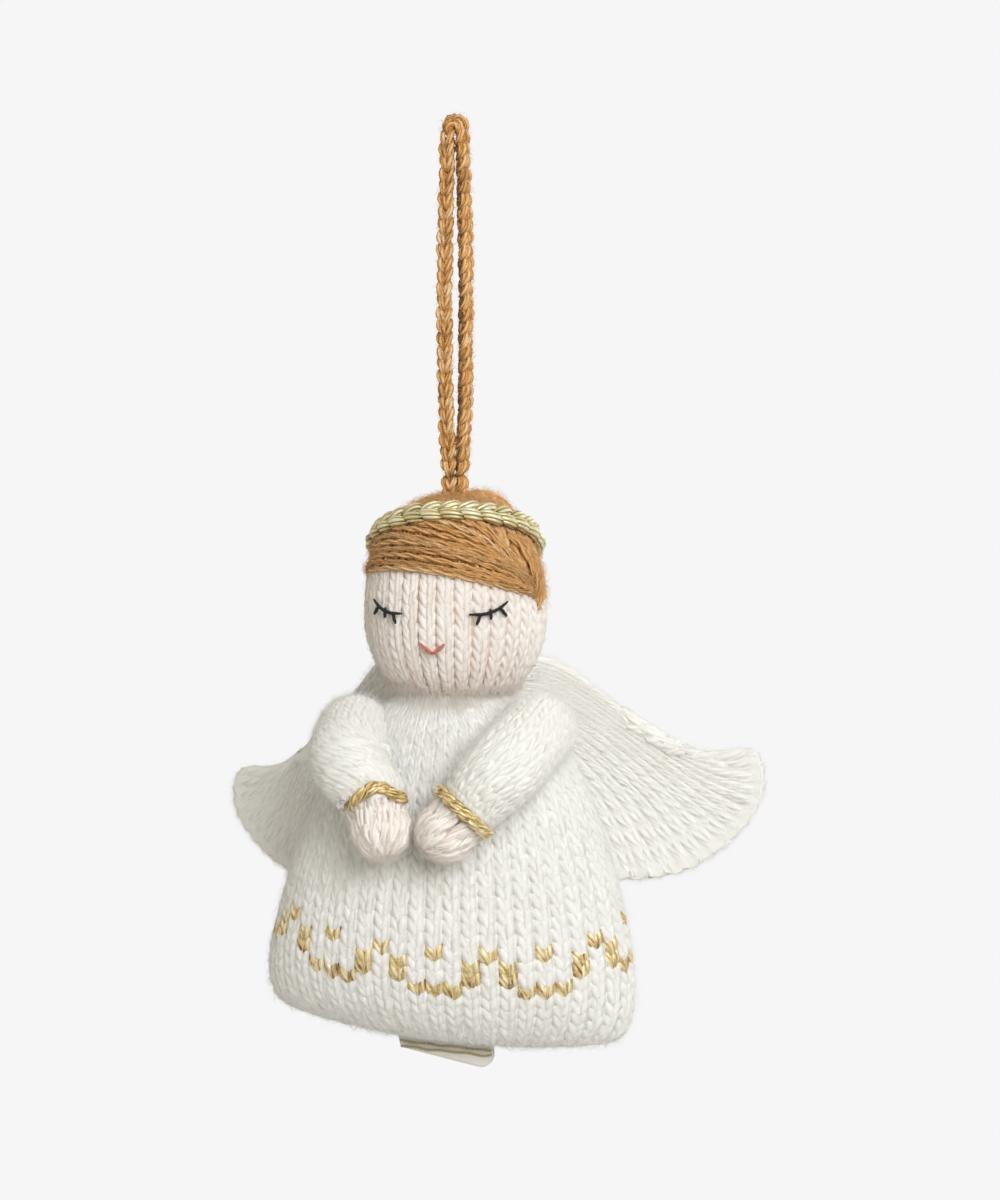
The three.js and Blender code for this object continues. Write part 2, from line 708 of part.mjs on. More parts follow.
function wingRib(share, pucker) {
  const between = (...points) => new THREE.QuadraticBezierCurve(...points.map(flatPoint)).getPoint(share);
  const guides = [0, 1].map((k) => between(TOP_GUIDES[k], MIDDLE_GUIDES[k], BOTTOM_GUIDES[k]));
  guides[0].y += pucker * (1 - share) ** 2;
  const end = wingEdge.getPoint(share);
  const out = end.clone().sub(guides[1]).normalize();
  end.addScaledVector(out, RIB_SCALLOP * Math.cos(2 * Math.PI * WING_RIBS * share));
  const root = flatPoint(WING_ROOT[0]).lerp(flatPoint(WING_ROOT[1]), share);
  return new THREE.CubicBezierCurve(root, ...guides, end);
}

function wingMiddle(share, along, pucker) {
  const p = wingRib(share, pucker).getPoint(along);
  const bow = WING_BOW * Math.sin(Math.PI * along);
  return vec(p.x, WING_ROOT_BACK + WING_SWEEP * (p.x - WING_ROOT_SIDE) + bow, p.y);
}

function wing({ sign, lift, pucker }) {
  const middle = (share, along) => wingMiddle(share, along, pucker);
  const step = 0.02;
  const normalOf = (share, along) => {
    const across = middle(Math.min(share + step, 1), along).sub(middle(Math.max(share - step, 0), along));
    const run = middle(share, Math.min(along + step, 1)).sub(middle(share, Math.max(along - step, 0)));
    return run.cross(across).normalize();
  };
  const at = (share, along, face) => {
    const grown = Math.min(1, along / RIB_GROWN);
    const wave = RIB_WAVE * grown * Math.cos(2 * Math.PI * WING_RIBS * share);
    const p = middle(share, along).addScaledVector(normalOf(share, along), wave + (face * WING_FABRIC) / 2);
    return vec(sign * p.x, p.y, p.z - WING_ROOT_Z);
  };
  const layer = (face) => upwards(RIB_STEPS).map((along) => (
    upwards(WING_RIBS * 4).map((share) => at(share, along, face))
  ));
  return sheetSolid(layer(1), layer(-1)).rotateY(radians(-sign * lift)).translate(0, 0, WING_ROOT_Z);
}

function wingBinding() {
  const ball = new THREE.SphereGeometry(1, BALL_SIDES, BALL_RINGS).rotateX(Math.PI / 2);
  ball.scale(WING_ROOT_SIDE - 2 * GAP, BINDING_DEPTH / 2, BINDING_HEIGHT / 2);
  ball.translate(0, WING_ROOT_BACK - GAP, WING_ROOT_Z);
  return cut(ball, dressSolid(-GAP), headSolid(GAP));
}

function label() {
  const inner = LABEL_FOLD;
  const outer = LABEL_FOLD + LABEL_TAPE;
  const bend = outer - LABEL_DROP;
  const fold = new THREE.Shape();
  fold.moveTo(-outer, 0);
  fold.lineTo(-outer, bend);
  fold.absarc(0, bend, outer, Math.PI, 2 * Math.PI, false);
  fold.lineTo(outer, 0);
  fold.lineTo(inner, 0);
  fold.lineTo(inner, bend);
  fold.absarc(0, bend, inner, 2 * Math.PI, Math.PI, true);
  fold.lineTo(-inner, 0);
  const run = { depth: LABEL_WIDTH, bevelEnabled: false, curveSegments: THREAD_SIDES };
  const geometry = new THREE.ExtrudeGeometry(fold, run);
  geometry.translate(0, 0, -LABEL_WIDTH / 2);
  geometry.applyMatrix4(new THREE.Matrix4().makeBasis(vec(0, 1, 0), vec(0, 0, 1), vec(1, 0, 0)));
  return geometry;
}

// Figure: everything that is sewn or knitted together and doesn't move by itself
const figure = new THREE.Group();
figure.add(
  mesh('dress', dress(), 'white'),
  mesh('body_filling', bodyFilling(), 'filling'),
  mesh('hem_seam', hemSeam(), 'white'),
  mesh('neck_thread', neckThread(), 'white'),
  mesh('head_skin', headSkin(), 'skin'),
  mesh('head_filling', headFilling(), 'filling'),
  mesh('hair_cap', hairCap(), 'caramel'),
  mesh('hair_fringe', hairFringe(), 'caramel'),
  mesh('hair_bun', hairBun(), 'caramel'),
  mesh('halo', halo(), 'paleGold'),
  mesh('left_eye', eye(1), 'black'),
  mesh('right_eye', eye(-1), 'black'),
  mesh('mouth', mouth(), 'coral'),
  mesh('wing_binding', wingBinding(), 'white'),
);

const wings = WINGS.map((spec) => mesh(`${spec.side}_wing`, wing(spec), 'white'));
const labelMesh = mesh('label', label(), 'cotton');
const hemFall = hemLift(LABEL_SIDE - 0.5, 0) - hemLift(LABEL_SIDE + 0.5, 0);
labelMesh.position.set(LABEL_SIDE + HEM_SHIFT, 0, hemLift(LABEL_SIDE, 0) - SEAM_DROP - LABEL_GAP);
labelMesh.rotation.y = Math.atan(hemFall);

const angel = new THREE.Group();
angel.add(
  figure,
  ...ARMS.map(arm),
  ...wings,
  labelMesh,
  mesh('loop_knot', knotBall(KNOT_RADIUS), 'caramel'),
  mesh('hanging_loop', hangingLoop(), 'caramel'),
);
angel.position.z = -HANG_Z;

export default angel;
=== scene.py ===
import math

import bpy
import numpy as np
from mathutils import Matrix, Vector


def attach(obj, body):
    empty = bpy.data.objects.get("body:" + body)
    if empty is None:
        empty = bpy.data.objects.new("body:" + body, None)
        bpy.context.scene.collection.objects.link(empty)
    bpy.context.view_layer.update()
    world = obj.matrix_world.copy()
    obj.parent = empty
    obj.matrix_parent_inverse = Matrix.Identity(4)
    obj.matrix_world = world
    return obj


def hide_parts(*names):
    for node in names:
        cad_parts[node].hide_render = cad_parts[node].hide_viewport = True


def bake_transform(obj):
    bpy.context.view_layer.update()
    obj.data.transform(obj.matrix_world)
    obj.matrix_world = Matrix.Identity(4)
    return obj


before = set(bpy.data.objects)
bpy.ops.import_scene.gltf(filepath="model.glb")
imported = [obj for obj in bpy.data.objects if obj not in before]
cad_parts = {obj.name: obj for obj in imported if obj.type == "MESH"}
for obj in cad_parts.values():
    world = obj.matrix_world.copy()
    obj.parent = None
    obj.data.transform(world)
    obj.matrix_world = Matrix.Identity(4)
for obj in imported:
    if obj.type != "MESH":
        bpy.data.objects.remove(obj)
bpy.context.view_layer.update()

rng = np.random.default_rng(12)

# Millimetres, with heights from the middle of the hem, as in the solids.
# Pieces are moved to the row frame when their meshes are built.
GAP = 0.3

# Loose fibres: radii by yarn, and how steeply they stand off
FINE_FIBRE = 0.022
FIBRE = 0.024
LONG_FIBRE = 0.026
COARSE_FIBRE = 0.03
FIBRE_RISE = 0.6
TONE_SPREAD = 0.4  # from strand to strand

# How far under the surface the stitches, their plain backing (coloured as painted shade, except on the wings)
# and the stuffing lie
KNIT_SINK = 0.9  # in yarn radii
WHITE_BACKING = 0.65
SKIN_BACKING = 0.8
HAIR_BACKING = 0.7
WING_BACKING = 0.18
STUFFING_INSET = 2.2
ARM_STUFFING_INSET = 1.9

# Dress
DRESS_HEIGHT = 69.9
DRESS_WIDTH = 75.4
DRESS_DEPTH = 36.8
NECK_RADIUS = 11.2
HEM_SMILE = 4.1
HEM_SLANT = 0.075
HEM_FADE = 45
DRESS_LEAN = -0.018
HEM_SHIFT = DRESS_LEAN * DRESS_HEIGHT
# Shares of height, half width and half depth, from the hem to just under the neck
DRESS_PROFILE = [
    [0, 0.86, 0.11],
    [0.017, 0.94, 0.36],
    [0.055, 0.98, 0.6],
    [0.125, 1, 0.82],
    [0.225, 0.99, 0.955],
    [0.355, 0.945, 1],
    [0.51, 0.875, 0.975],
    [0.68, 0.765, 0.905],
    [0.82, 0.64, 0.815],
    [0.92, 0.515, 0.74],
    [0.975, 0.395, 0.66],
]
DRESS_COLUMNS = 48
DRESS_ROWS = 32
ROW_HEIGHT = 2.55
LEAST_STEP = 0.02
FRONT_COLUMN = 2.35
DRESS_FIBRES = 14000
# How far the rows sit low, from the right side round the front to the left
ROW_SAG = [0.3, 1.2, 0.6, 2.0, 1.3]
SEAM_RISE = 1.7
SEAM_DROP = 0.2
SEAM_REACH = 0.86
SEAM_PITCH = 2.6
SEAM_SET = 1.2
SEAM_SLOPE = 0.9
SEAM_YARN = 0.5
SEAM_CORE = 0.85
# Gold stitches of the border: columns within a repeat, by row up from the first one
GOLD_ROW = 8
GOLD_REPEAT = 6
GOLD_CHART = [[1, 2, 3], [0, 4], [0, 4], [2, 5]]

# Head
HEAD_WIDTH = 36.4
HEAD_DEPTH = 35.6
HEAD_LOWER = 19.25
HEAD_UPPER = 24.2
LOWER_POWER = 2
UPPER_POWER = 2.4
HEAD_RADIUS = HEAD_WIDTH / 2
HEAD_FLATTEN = HEAD_DEPTH / HEAD_WIDTH
NECK_SHARE = (1 - (NECK_RADIUS / HEAD_RADIUS) ** LOWER_POWER) ** (1 / LOWER_POWER)
HEAD_Z = DRESS_HEIGHT + 2 * GAP + HEAD_LOWER * NECK_SHARE
CROWN_Z = HEAD_Z + HEAD_UPPER
CROWN_ANGLE = 88
HEAD_COLUMNS = 30
HEAD_ROWS = 22
HEAD_FIBRES = 6000
NECK_THREAD = 0.9

# Hair and halo
HAIRLINE_FRONT = 9.2
HAIRLINE_FALL_BACK = 7.7
HAIRLINE_FALL_LEFT = 2
FRINGE_STRANDS = 6
FRINGE_FROM = -84
FRINGE_TO = 74
FRINGE_HEIGHT = 7.6
FRINGE_TIP = 0.4
FRINGE_SWEEPS = 5
FRINGE_PITCH = 1.25
FRINGE_PINCH = 77
FRINGE_YARN = 0.66
# The lock beside the face: angle where each strand starts, and its end above the hairline
FRINGE_LOCK = [[58, 0.7], [65, 0.3], [71, -0.3], [77, -2.2]]
HAIR_FIBRES = 12000
BUN_WIDTH = 17
BUN_HEIGHT = 16.4
BUN_SIDE = 2.5
BUN_BACK = 9
BUN_SINK = 7.4
BUN_YARN = 0.8
BUN_FIBRES = 2200
HALO_TALL = 4.6
HALO_THICK = 2.2
HALO_DROP = 8
HALO_SLOPE = 0.42
HALO_LEAN = 0.09
HALO_SEAT = 0.6
HALO_LINKS = 27
HALO_ROUNDS = 30

# Hanging loop
CORD = 2.8
KNOT_RADIUS = 2.6
KNOT_RISE = 0.8
KNOT_FIBRES = 500
KNOT_Z = CROWN_Z + KNOT_RISE
LOOP_Z = KNOT_Z + KNOT_RADIUS + GAP
LOOP_LEG = [
    [0, 0.32],
    [4, 0.45],
    [11, 0.58],
    [21, 0.68],
    [33, 0.7],
    [45, 0.65],
    [55, 0.52],
    [63, 0.34],
    [68.9, 0.22],
]
TURN_Z = LOOP_Z + LOOP_LEG[-1][0]
LOOP_TURN = LOOP_LEG[-1][1] + CORD / 2
HANG_Z = TURN_Z + LOOP_LEG[-1][1]
LOOP_LINKS = 56
LOOP_YARN = 0.82
LOOP_FIBRES = 24
# How far the soft yarn of the legs presses together, by the stations above
LOOP_PRESS = [0.62, 0.5, 0.24, 0.08, 0, 0.05, 0.16, 0.26, 0.26]

# Face
EYE_THREAD = 0.9
EYE_LINE = 0.74
EYE_INNER = 21
EYE_OUTER = 46
EYE_HEIGHT = 1.7
EYE_RISE = 2.4
EYE_LEVEL = 0.25
# Angles where each lash starts and ends, how far it falls, and how far above the lid it starts
LASHES = [[28, 25.5, -2, 0], [34, 34.5, -2, 0.7], [40.5, 45, -1.7, 0]]
MOUTH_THREAD = 0.9
MOUTH_LINE = 0.84
MOUTH_HALF = 7.2
MOUTH_SIDE = -1.5
MOUTH_HEIGHT = -4.1
MOUTH_DIP = 1.6

# Arms
SHOULDER_RADIUS = 7.3
ELBOW_RADIUS = 7.6
WRIST_RADIUS = 6.3
HAND_RADIUS = 6.25
HAND_DROP = 24.4
HANDS_MEET = -2.9
WRIST_RISE = 4
WRIST_STRAIGHT = 3
WRIST_SHARE = 0.86
CUFF_THREAD = 1.5
CUFF_LINK = 2.2
CUFF_HALF_TURN = 84
# Shoulder and elbow: drop below the neck and angle from the front. Then how far the shoulder stands off
# the dress, the share of its sideways reach that the forearm keeps, and the arch and tilt of the cuff
ARMS = [
    {
        "side": "left", "sign": 1, "shoulder": [7, 57], "elbow": [14.5, 28],
        "stand": 3.2, "inward": 1, "arch": 0.3, "tilt": 0,
    },
    {
        "side": "right", "sign": -1, "shoulder": [7.5, -57], "elbow": [14, -33.5],
        "stand": 1.5, "inward": 0.55, "arch": 1.8, "tilt": 1.0,
    },
]
SLEEVE_COLUMNS = 18
SLEEVE_ROWS = 17
SLEEVE_FIBRES = 5000
HAND_STRANDS = 15
HAND_YARN = 1.1
HAND_ROWS = 8
HAND_FIBRES = 1500

# Wings
WING_RIBS = 17
WING_ROWS = 14
WING_FIBRES = 3700
RIM_STATIONS = 400
RIM_FIBRES = 6
WING_FABRIC = 1.8
RIB_WAVE = 0.12
RIB_SCALLOP = 0.3
WING_CORNER = 0.05  # share of the top rib that the rounded tip takes off
WING_CORNER_REACH = 0.1  # share of the ribs that it rounds
RIB_GROWN = 0.35
WING_ROOT_SIDE = 3.6
WING_ROOT_RISE = 2.5
WING_ROOT_FALL = 8.5
WING_STAND = 0.2
WING_SWEEP = 0.24
WING_BOW = 1.6
WING_ROOT_BACK = HEAD_DEPTH / 2 + WING_STAND
WING_ROOT_Z = DRESS_HEIGHT + (WING_ROOT_RISE - WING_ROOT_FALL) / 2
TOP_GUIDES = [[20, 17], [30.5, -24.5]]
MIDDLE_GUIDES = [[14, 1], [43, -12]]
BOTTOM_GUIDES = [[8, -15.5], [14, -24.5]]
WING_EDGE = [[55.4, -14.3], [56.2, -23.5], [51, -32], [41.5, -38.6], [29, -40.3], [17, -37.4]]
WINGS = [
    {"side": "left", "sign": 1, "lift": 2.5, "pucker": 0},
    {"side": "right", "sign": -1, "lift": -4.5, "pucker": 12},
]
BINDING_DEPTH = 8.8
BINDING_HEIGHT = 13

# Label
LABEL_WIDTH = 19.4
LABEL_DROP = 4.8
LABEL_TAPE = 0.4
LABEL_FOLD = 0.15
LABEL_SIDE = -0.9
LABEL_TUCK = 1.6
LABEL_NEAR = 0.5  # share of the drop at its right end
LABEL_SKEW = 0.7
LABEL_CURL = 0.5
LABEL_BELLY = 0.12
LABEL_YARN = 0.26
# Level below the seam and waviness of the two threads
LABEL_ROWS = [[-0.95, 0.08], [-2.0, 0.1]]

# Camera and stage, in metres
AIM = (0.0087, 0.00186, -0.0937)
DISTANCE = 0.75
SENSOR = 36
VIEW_HEIGHT = 0.24
AZIMUTH = math.radians(12.5)
ELEVATION = math.radians(4)
FLOOR_Z = -0.29
FLOOR_RADIUS = 0.28
FLOOR_CLEAR = 0.1
LAMP_AIM = (0, 0, -0.12)
AMBIENT_TINT = (1, 0.94, 0.8, 1)


def unit(vectors):
    return vectors / np.maximum(np.linalg.norm(vectors, axis=-1, keepdims=True), 1e-9)


def square(vectors, along):
    """Unit vectors at right angles to along, turned as little as can be."""
    return unit(vectors - np.sum(vectors * along, axis=-1, keepdims=True) * along)


def metres(points):
    return (np.asarray(points, float) - [0, 0, HANG_Z]) * 0.001


def spline(points, shares, centripetal=True):
    """Smooth curve through points, at shares 0 to 1 of its spans."""
    knots = np.asarray(points, float)
    first, last = knots[0], knots[-1]
    if centripetal:
        first, last = 2 * knots[0] - knots[1], 2 * knots[-1] - knots[-2]
    knots = np.vstack([first, knots, last])
    place = np.clip(shares, 0, 1) * (len(knots) - 3)
    span = np.minimum(np.floor(place).astype(int), len(knots) - 4)
    t = (place - span)[..., None]
    a, b, c, d = (knots[span + k] for k in range(4))
    start, end = (c - a) / 2, (d - b) / 2
    if centripetal:
        spans = ((a, b), (b, c), (c, d))
        ab, bc, cd = (np.sqrt(np.linalg.norm(q - p, axis=-1, keepdims=True)) for p, q in spans)
        start = ((b - a) / ab - (c - a) / (ab + bc) + (c - b) / bc) * bc
        end = ((c - b) / bc - (d - b) / (bc + cd) + (d - c) / cd) * bc
    return b + t * start + t ** 2 * (3 * c - 3 * b - 2 * start - end) + t ** 3 * (2 * b - 2 * c + start + end)


def run_length(points):
    """Distance run up to each point of a line, or of every line in a stack."""
    steps = np.linalg.norm(np.diff(points, axis=-2), axis=-1)
    return np.concatenate([np.zeros(steps.shape[:-1] + (1,)), np.cumsum(steps, axis=-1)], axis=-1)


def at_run(places, run, points):
    """Points of a line at distances run along it."""
    return np.stack([np.interp(places, run, points[:, k]) for k in range(points.shape[1])], axis=-1)


def evenly(points, count):
    """The same line with count points at equal steps."""
    run = run_length(points)
    return at_run(np.linspace(0, run[-1], count), run, points)


class Cloth:
    """A knitted surface: points on a grid, counted in stitch columns across and rows up."""

    def __init__(self, points, columns, rows, closed=False, flip=1):
        self.points, self.columns, self.rows, self.closed = points, columns, rows, closed
        across = np.gradient(points, axis=1)
        if closed:
            across[:, 0] = across[:, -1] = (points[:, 1] - points[:, -2]) / 2
        self.normals = flip * unit(np.cross(across, np.gradient(points, axis=0)))
        self.widths = np.linalg.norm(across, axis=-1) * (points.shape[1] - 1) / columns

    def inside(self, depth):
        return self.points - self.normals * depth

    def at(self, column, row):
        """Point, outward normal and column width at places counted in stitches, run on past the edges."""
        wide, tall = self.points.shape[1] - 1, self.points.shape[0] - 1
        x = np.asarray(column) * wide / self.columns
        x, y = np.broadcast_arrays(x, np.asarray(row) * tall / self.rows)
        if self.closed:
            x = np.mod(x, wide)
        left = np.clip(x.astype(int), 0, wide - 1)
        low = np.clip(y.astype(int), 0, tall - 1)
        u, v = x - left, y - low

        def mix(grid):
            p, q = (u[..., None], v[..., None]) if grid.ndim == 3 else (u, v)
            lower = grid[low, left] * (1 - p) + grid[low, left + 1] * p
            upper = grid[low + 1, left] * (1 - p) + grid[low + 1, left + 1] * p
            return lower * (1 - q) + upper * q

        return mix(self.points), unit(mix(self.normals)), mix(self.widths)


class Yarn:
    """Collects tubes of yarn and pieces of surface, and makes one mesh of them."""

    def __init__(self):
        self.points, self.uvs, self.faces, self.slots, self.tones, self.deeps = [], [], [], [], [], []
        self.count = 0

    def quads(self, points, corners, uvs, slot, tone, deep):
        self.points.append(points.reshape(-1, 3))
        self.faces.append(corners.reshape(-1, 4) + self.count)
        self.uvs.append(uvs.reshape(-1, 2))
        self.slots.append(np.broadcast_to(slot, corners.shape[:-1]).reshape(-1))
        self.tones.append(np.broadcast_to(tone, points.shape[:-1]).reshape(-1))
        self.deeps.append(np.broadcast_to(deep, points.shape[:-1]).reshape(-1))
        self.count += points.size // 3

    def tubes(self, centres, normals, radii, sides=6, slot=0, tone=None, deep=0, capped=False, flat=1):
        """Tubes along centres (tube, station, xyz), with a normal and a radius at each station."""
        centres = np.asarray(centres, float)
        normals = np.broadcast_to(normals, centres.shape)
        radii = np.broadcast_to(radii, centres.shape[:2])
        deep = np.broadcast_to(deep, centres.shape[:2])
        along = unit(np.gradient(centres, axis=1))
        if capped:
            tip = 0.6 * radii[..., None] * along
            open_ended = (centres, along, normals, radii, deep)
            centres, along, normals, radii, deep = (
                np.concatenate([v[:, :1], v, v[:, -1:]], axis=1) for v in open_ended
            )
            centres[:, 0] -= tip[:, 0]
            centres[:, -1] += tip[:, -1]
            radii[:, [0, -1]] *= 0.25
        count, stations = centres.shape[:2]
        out = square(normals, along)
        side = np.cross(along, out)
        turn = 2 * np.pi * np.arange(sides) / sides
        ring = np.cos(turn)[:, None] * out[:, :, None] + flat * np.sin(turn)[:, None] * side[:, :, None]
        points = centres[:, :, None] + radii[:, :, None, None] * ring
        index = np.arange(count * stations * sides).reshape(count, stations, sides)
        nxt = np.roll(index, -1, axis=2)
        corners = np.stack([index[:, :-1], nxt[:, :-1], nxt[:, 1:], index[:, 1:]], axis=-1)
        run = run_length(centres) / (2 * np.mean(radii, axis=1, keepdims=True)) + rng.random((count, 1))
        low, high = run[:, :-1, None], run[:, 1:, None]
        v0, v1 = np.arange(sides) / sides, (np.arange(sides) + 1) / sides
        shape = (count, stations - 1, sides)
        uvs = np.empty(shape + (4, 2))
        for k, (u, v) in enumerate([(low, v0), (low, v1), (high, v1), (high, v0)]):
            uvs[..., k, 0] = u
            uvs[..., k, 1] = v
        if tone is None:
            tone = rng.normal(0, TONE_SPREAD, count)
        slots = np.broadcast_to(np.reshape(slot, (-1, 1, 1)), shape)
        tones = np.broadcast_to(np.reshape(tone, (-1, 1, 1)), points.shape[:3])
        self.quads(points, corners, uvs, slots, tones, np.broadcast_to(deep[:, :, None], points.shape[:3]))

    def surface(self, points, slot=0, deep=1, turned=False):
        """A plain surface on a grid of points, such as the inside of the knit, which its material colours
        darker as painted shade.
        """
        rows, columns = points.shape[:2]
        index = np.arange(rows * columns).reshape(rows, columns)
        corners = [index[:-1, :-1], index[:-1, 1:], index[1:, 1:], index[1:, :-1]]
        corners = np.stack(corners[::-1] if turned else corners, axis=-1)
        uvs = np.stack([corners % columns, corners // columns], axis=-1) * 0.5
        self.quads(points, corners, uvs, slot, 0, deep)

    def build(self, name, materials):
        points = metres(np.concatenate(self.points))
        faces = np.concatenate(self.faces)
        mesh = bpy.data.meshes.new(name)
        mesh.vertices.add(len(points))
        mesh.vertices.foreach_set("co", points.astype(np.float32).ravel())
        mesh.loops.add(faces.size)
        mesh.loops.foreach_set("vertex_index", faces.astype(np.int32).ravel())
        mesh.polygons.add(len(faces))
        mesh.polygons.foreach_set("loop_start", np.arange(0, faces.size, 4, dtype=np.int32))
        mesh.polygons.foreach_set("material_index", np.concatenate(self.slots).astype(np.int32))
        mesh.polygons.foreach_set("use_smooth", np.full(len(faces), True))
        layer = mesh.uv_layers.new(name="yarn")
        layer.data.foreach_set("uv", np.concatenate(self.uvs).astype(np.float32).ravel())
        # tone is random colour from strand to strand; deep is painted shade, darkest where yarn lies deep in
        # the fabric
        for label, values in (("tone", self.tones), ("deep", self.deeps)):
            attribute = mesh.attributes.new(label, "FLOAT", "POINT")
            attribute.data.foreach_set("value", np.concatenate(values).astype(np.float32))
        mesh.update(calc_edges=True)
        piece = bpy.data.objects.new(name, mesh)
        bpy.context.scene.collection.objects.link(piece)
        for material in materials:
            mesh.materials.append(material)
        return piece


# One leg of a knit stitch, from under the stitch below to under the one above:
# across in columns, up in rows, depth and radius in yarn radii
KNIT_LEG = np.array([
    [0.05, -0.42, -0.75, 0.55],
    [0.09, -0.05, -0.12, 0.92],
    [0.16, 0.3, 0.06, 1.0],
    [0.24, 0.7, 0.06, 1.0],
    [0.31, 1.08, -0.22, 0.95],
    [0.34, 1.45, -1.0, 0.6],
])


def knit(
    yarn, cloth, columns, rows, share=0.26, sides=6, steps=5, slot=0, turned=False, least=0.3,
    flat=1.25, lean=1.0, dim=None,
):
    """Knit stitches at the given columns and rows of a cloth, two legs each."""
    leg = spline(KNIT_LEG, np.linspace(0, 1, steps + 1))
    columns, rows = np.repeat(columns, 2)[:, None], np.repeat(rows, 2)[:, None]
    count = len(columns)
    sign = np.tile([1, -1], count // 2)[:, None]
    stray = rng.normal(0, 0.022, (count, 1)), rng.normal(0, 0.03, (count, 1))
    column = columns + 0.5 + sign * (0.2 + lean * (leg[:, 0] - 0.2)) + stray[0]
    row = rows + leg[:, 1] + stray[1]
    if turned:
        row = cloth.rows - row
    point, normal, width = cloth.at(column, row)
    thick = np.maximum(share * width, least) * (1 + rng.normal(0, 0.05, (count, 1)))
    centre = point + normal * ((leg[:, 2] - KNIT_SINK + rng.normal(0, 0.06, (count, 1))) * thick)[..., None]
    # Painted shade: legs darken where they dive under the next stitch, plus any extra painted shade passed in
    # as dim
    deep = np.broadcast_to(np.clip(-leg[:, 2] + 0.1, 0, 1), centre.shape[:2])
    if dim is not None:
        deep = deep + np.repeat(dim, 2)[:, None]
    slots = np.repeat(slot, 2) if np.ndim(slot) else slot
    yarn.tubes(centre, normal, thick * leg[:, 3], sides, slots, deep=deep, flat=flat)


# One leg of a crochet chain link: across in half widths, along in links, out in half thicknesses, radius
CHAIN_LEG = np.array([
    [0.05, -0.42, -0.5, 0.75],
    [0.34, -0.1, 0.1, 0.95],
    [0.58, 0.3, 0.42, 1.08],
    [0.56, 0.7, 0.42, 1.08],
    [0.3, 1.08, 0.15, 0.95],
    [0.06, 1.4, -0.45, 0.75],
])


# The same for plump links that lie as a braid
BRAID_LEG = np.array([
    [0.02, -0.38, -0.6, 0.65],
    [0.22, -0.08, 0.1, 0.95],
    [0.46, 0.26, 0.5, 1.1],
    [0.66, 0.6, 0.52, 1.1],
    [0.72, 0.92, 0.1, 0.95],
    [0.5, 1.2, -0.7, 0.65],
])


def chain(
    yarn, centres, outs, links, wide, thick, radius, closed=False, plies=1, steps=8, sides=6, shape=CHAIN_LEG,
):
    """A crocheted chain along a line, its face turned to outs."""
    run = run_length(centres)
    leg = spline(shape, np.linspace(0, 1, steps + 1))
    spare = 0 if closed else 0.82
    pitch = run[-1] / (links + spare)
    start = (np.arange(links)[:, None] + spare / 2) * pitch

    def place(along, across, out):
        spot = np.mod(along, run[-1]) if closed else np.clip(along, 0, run[-1])
        lines = (centres, outs, np.gradient(centres, axis=0))
        centre, face, ahead = (at_run(spot, run, line) for line in lines)
        ahead = unit(ahead)
        face = square(face, ahead)
        side = np.cross(ahead, face)
        return centre + side * (across * wide)[..., None] + face * (out * thick)[..., None], face

    for sign in (1, -1):
        stray = rng.normal(0, 0.05, (links, 1))
        along = start + (leg[:, 1] + stray) * pitch
        across = np.broadcast_to(sign * leg[:, 0] + stray * 0.5, along.shape)
        centre, face = place(along, across, np.broadcast_to(leg[:, 2], along.shape))
        # Painted shade where the legs dive under the chain
        deep = np.broadcast_to(np.clip(0.42 - leg[:, 2], 0, 1), along.shape)
        strand(yarn, centre, face, radius * leg[:, 3], plies, sides, deep=deep)
    along = start + leg[:, 1] * pitch
    across = np.broadcast_to(0.25 * np.sin(np.pi * leg[:, 1]), along.shape)
    centre, face = place(along, across, np.broadcast_to(-0.55 + 0.15 * leg[:, 2], along.shape))
    # The back strand of each link is drawn in painted shade (deep 0.8)
    strand(yarn, centre, face, radius * leg[:, 3], plies, sides, deep=0.8)


def strand(yarn, centres, normals, radii, plies=3, sides=5, turns=0.11, capped=False, deep=0):
    """Strands twisted of plies; turns is twists for each millimetre."""
    centres = np.asarray(centres, float)
    radii = np.broadcast_to(radii, centres.shape[:2])
    if plies == 1:
        yarn.tubes(centres, normals, radii, sides, deep=deep, capped=capped)
        return
    along = unit(np.gradient(centres, axis=1))
    out = square(normals, along)
    side = np.cross(along, out)
    run = run_length(centres)
    first = rng.random((len(centres), 1))
    tone = rng.normal(0, TONE_SPREAD, len(centres))
    for k in range(plies):
        turn = 2 * np.pi * (run * turns + first + k / plies)
        offset = np.cos(turn)[..., None] * out + np.sin(turn)[..., None] * side
        ply = centres + 0.42 * radii[..., None] * offset
        yarn.tubes(ply, offset, 0.62 * radii, sides, tone=tone, deep=deep, capped=capped)


def fuzz(yarn, points, normals, length, radius=FIBRE, slot=0):
    """Loose curved fibres that stand off a surface."""
    count = len(points)
    lay = unit(np.cross(normals, rng.normal(size=(count, 3))))
    bend = unit(np.cross(normals, lay)) * rng.normal(0, 0.5, (count, 1))
    reach = length * rng.uniform(0.4, 1.2, (count, 1))
    lift = FIBRE_RISE * rng.uniform(0.2, 1.3, (count, 1))
    steps = np.array([0, 0.5, 1])[:, None, None]
    rises = lift * (steps * 1.6 - 0.7 * steps ** 2)
    line = points + reach * (steps * lay + steps ** 2 * bend) + normals * (reach * rises - 0.1)
    centres = np.swapaxes(line, 0, 1)
    thin = radius * np.array([1, 0.9, 0.35])
    yarn.tubes(centres, normals[:, None], thin, 3, slot)


# Materials

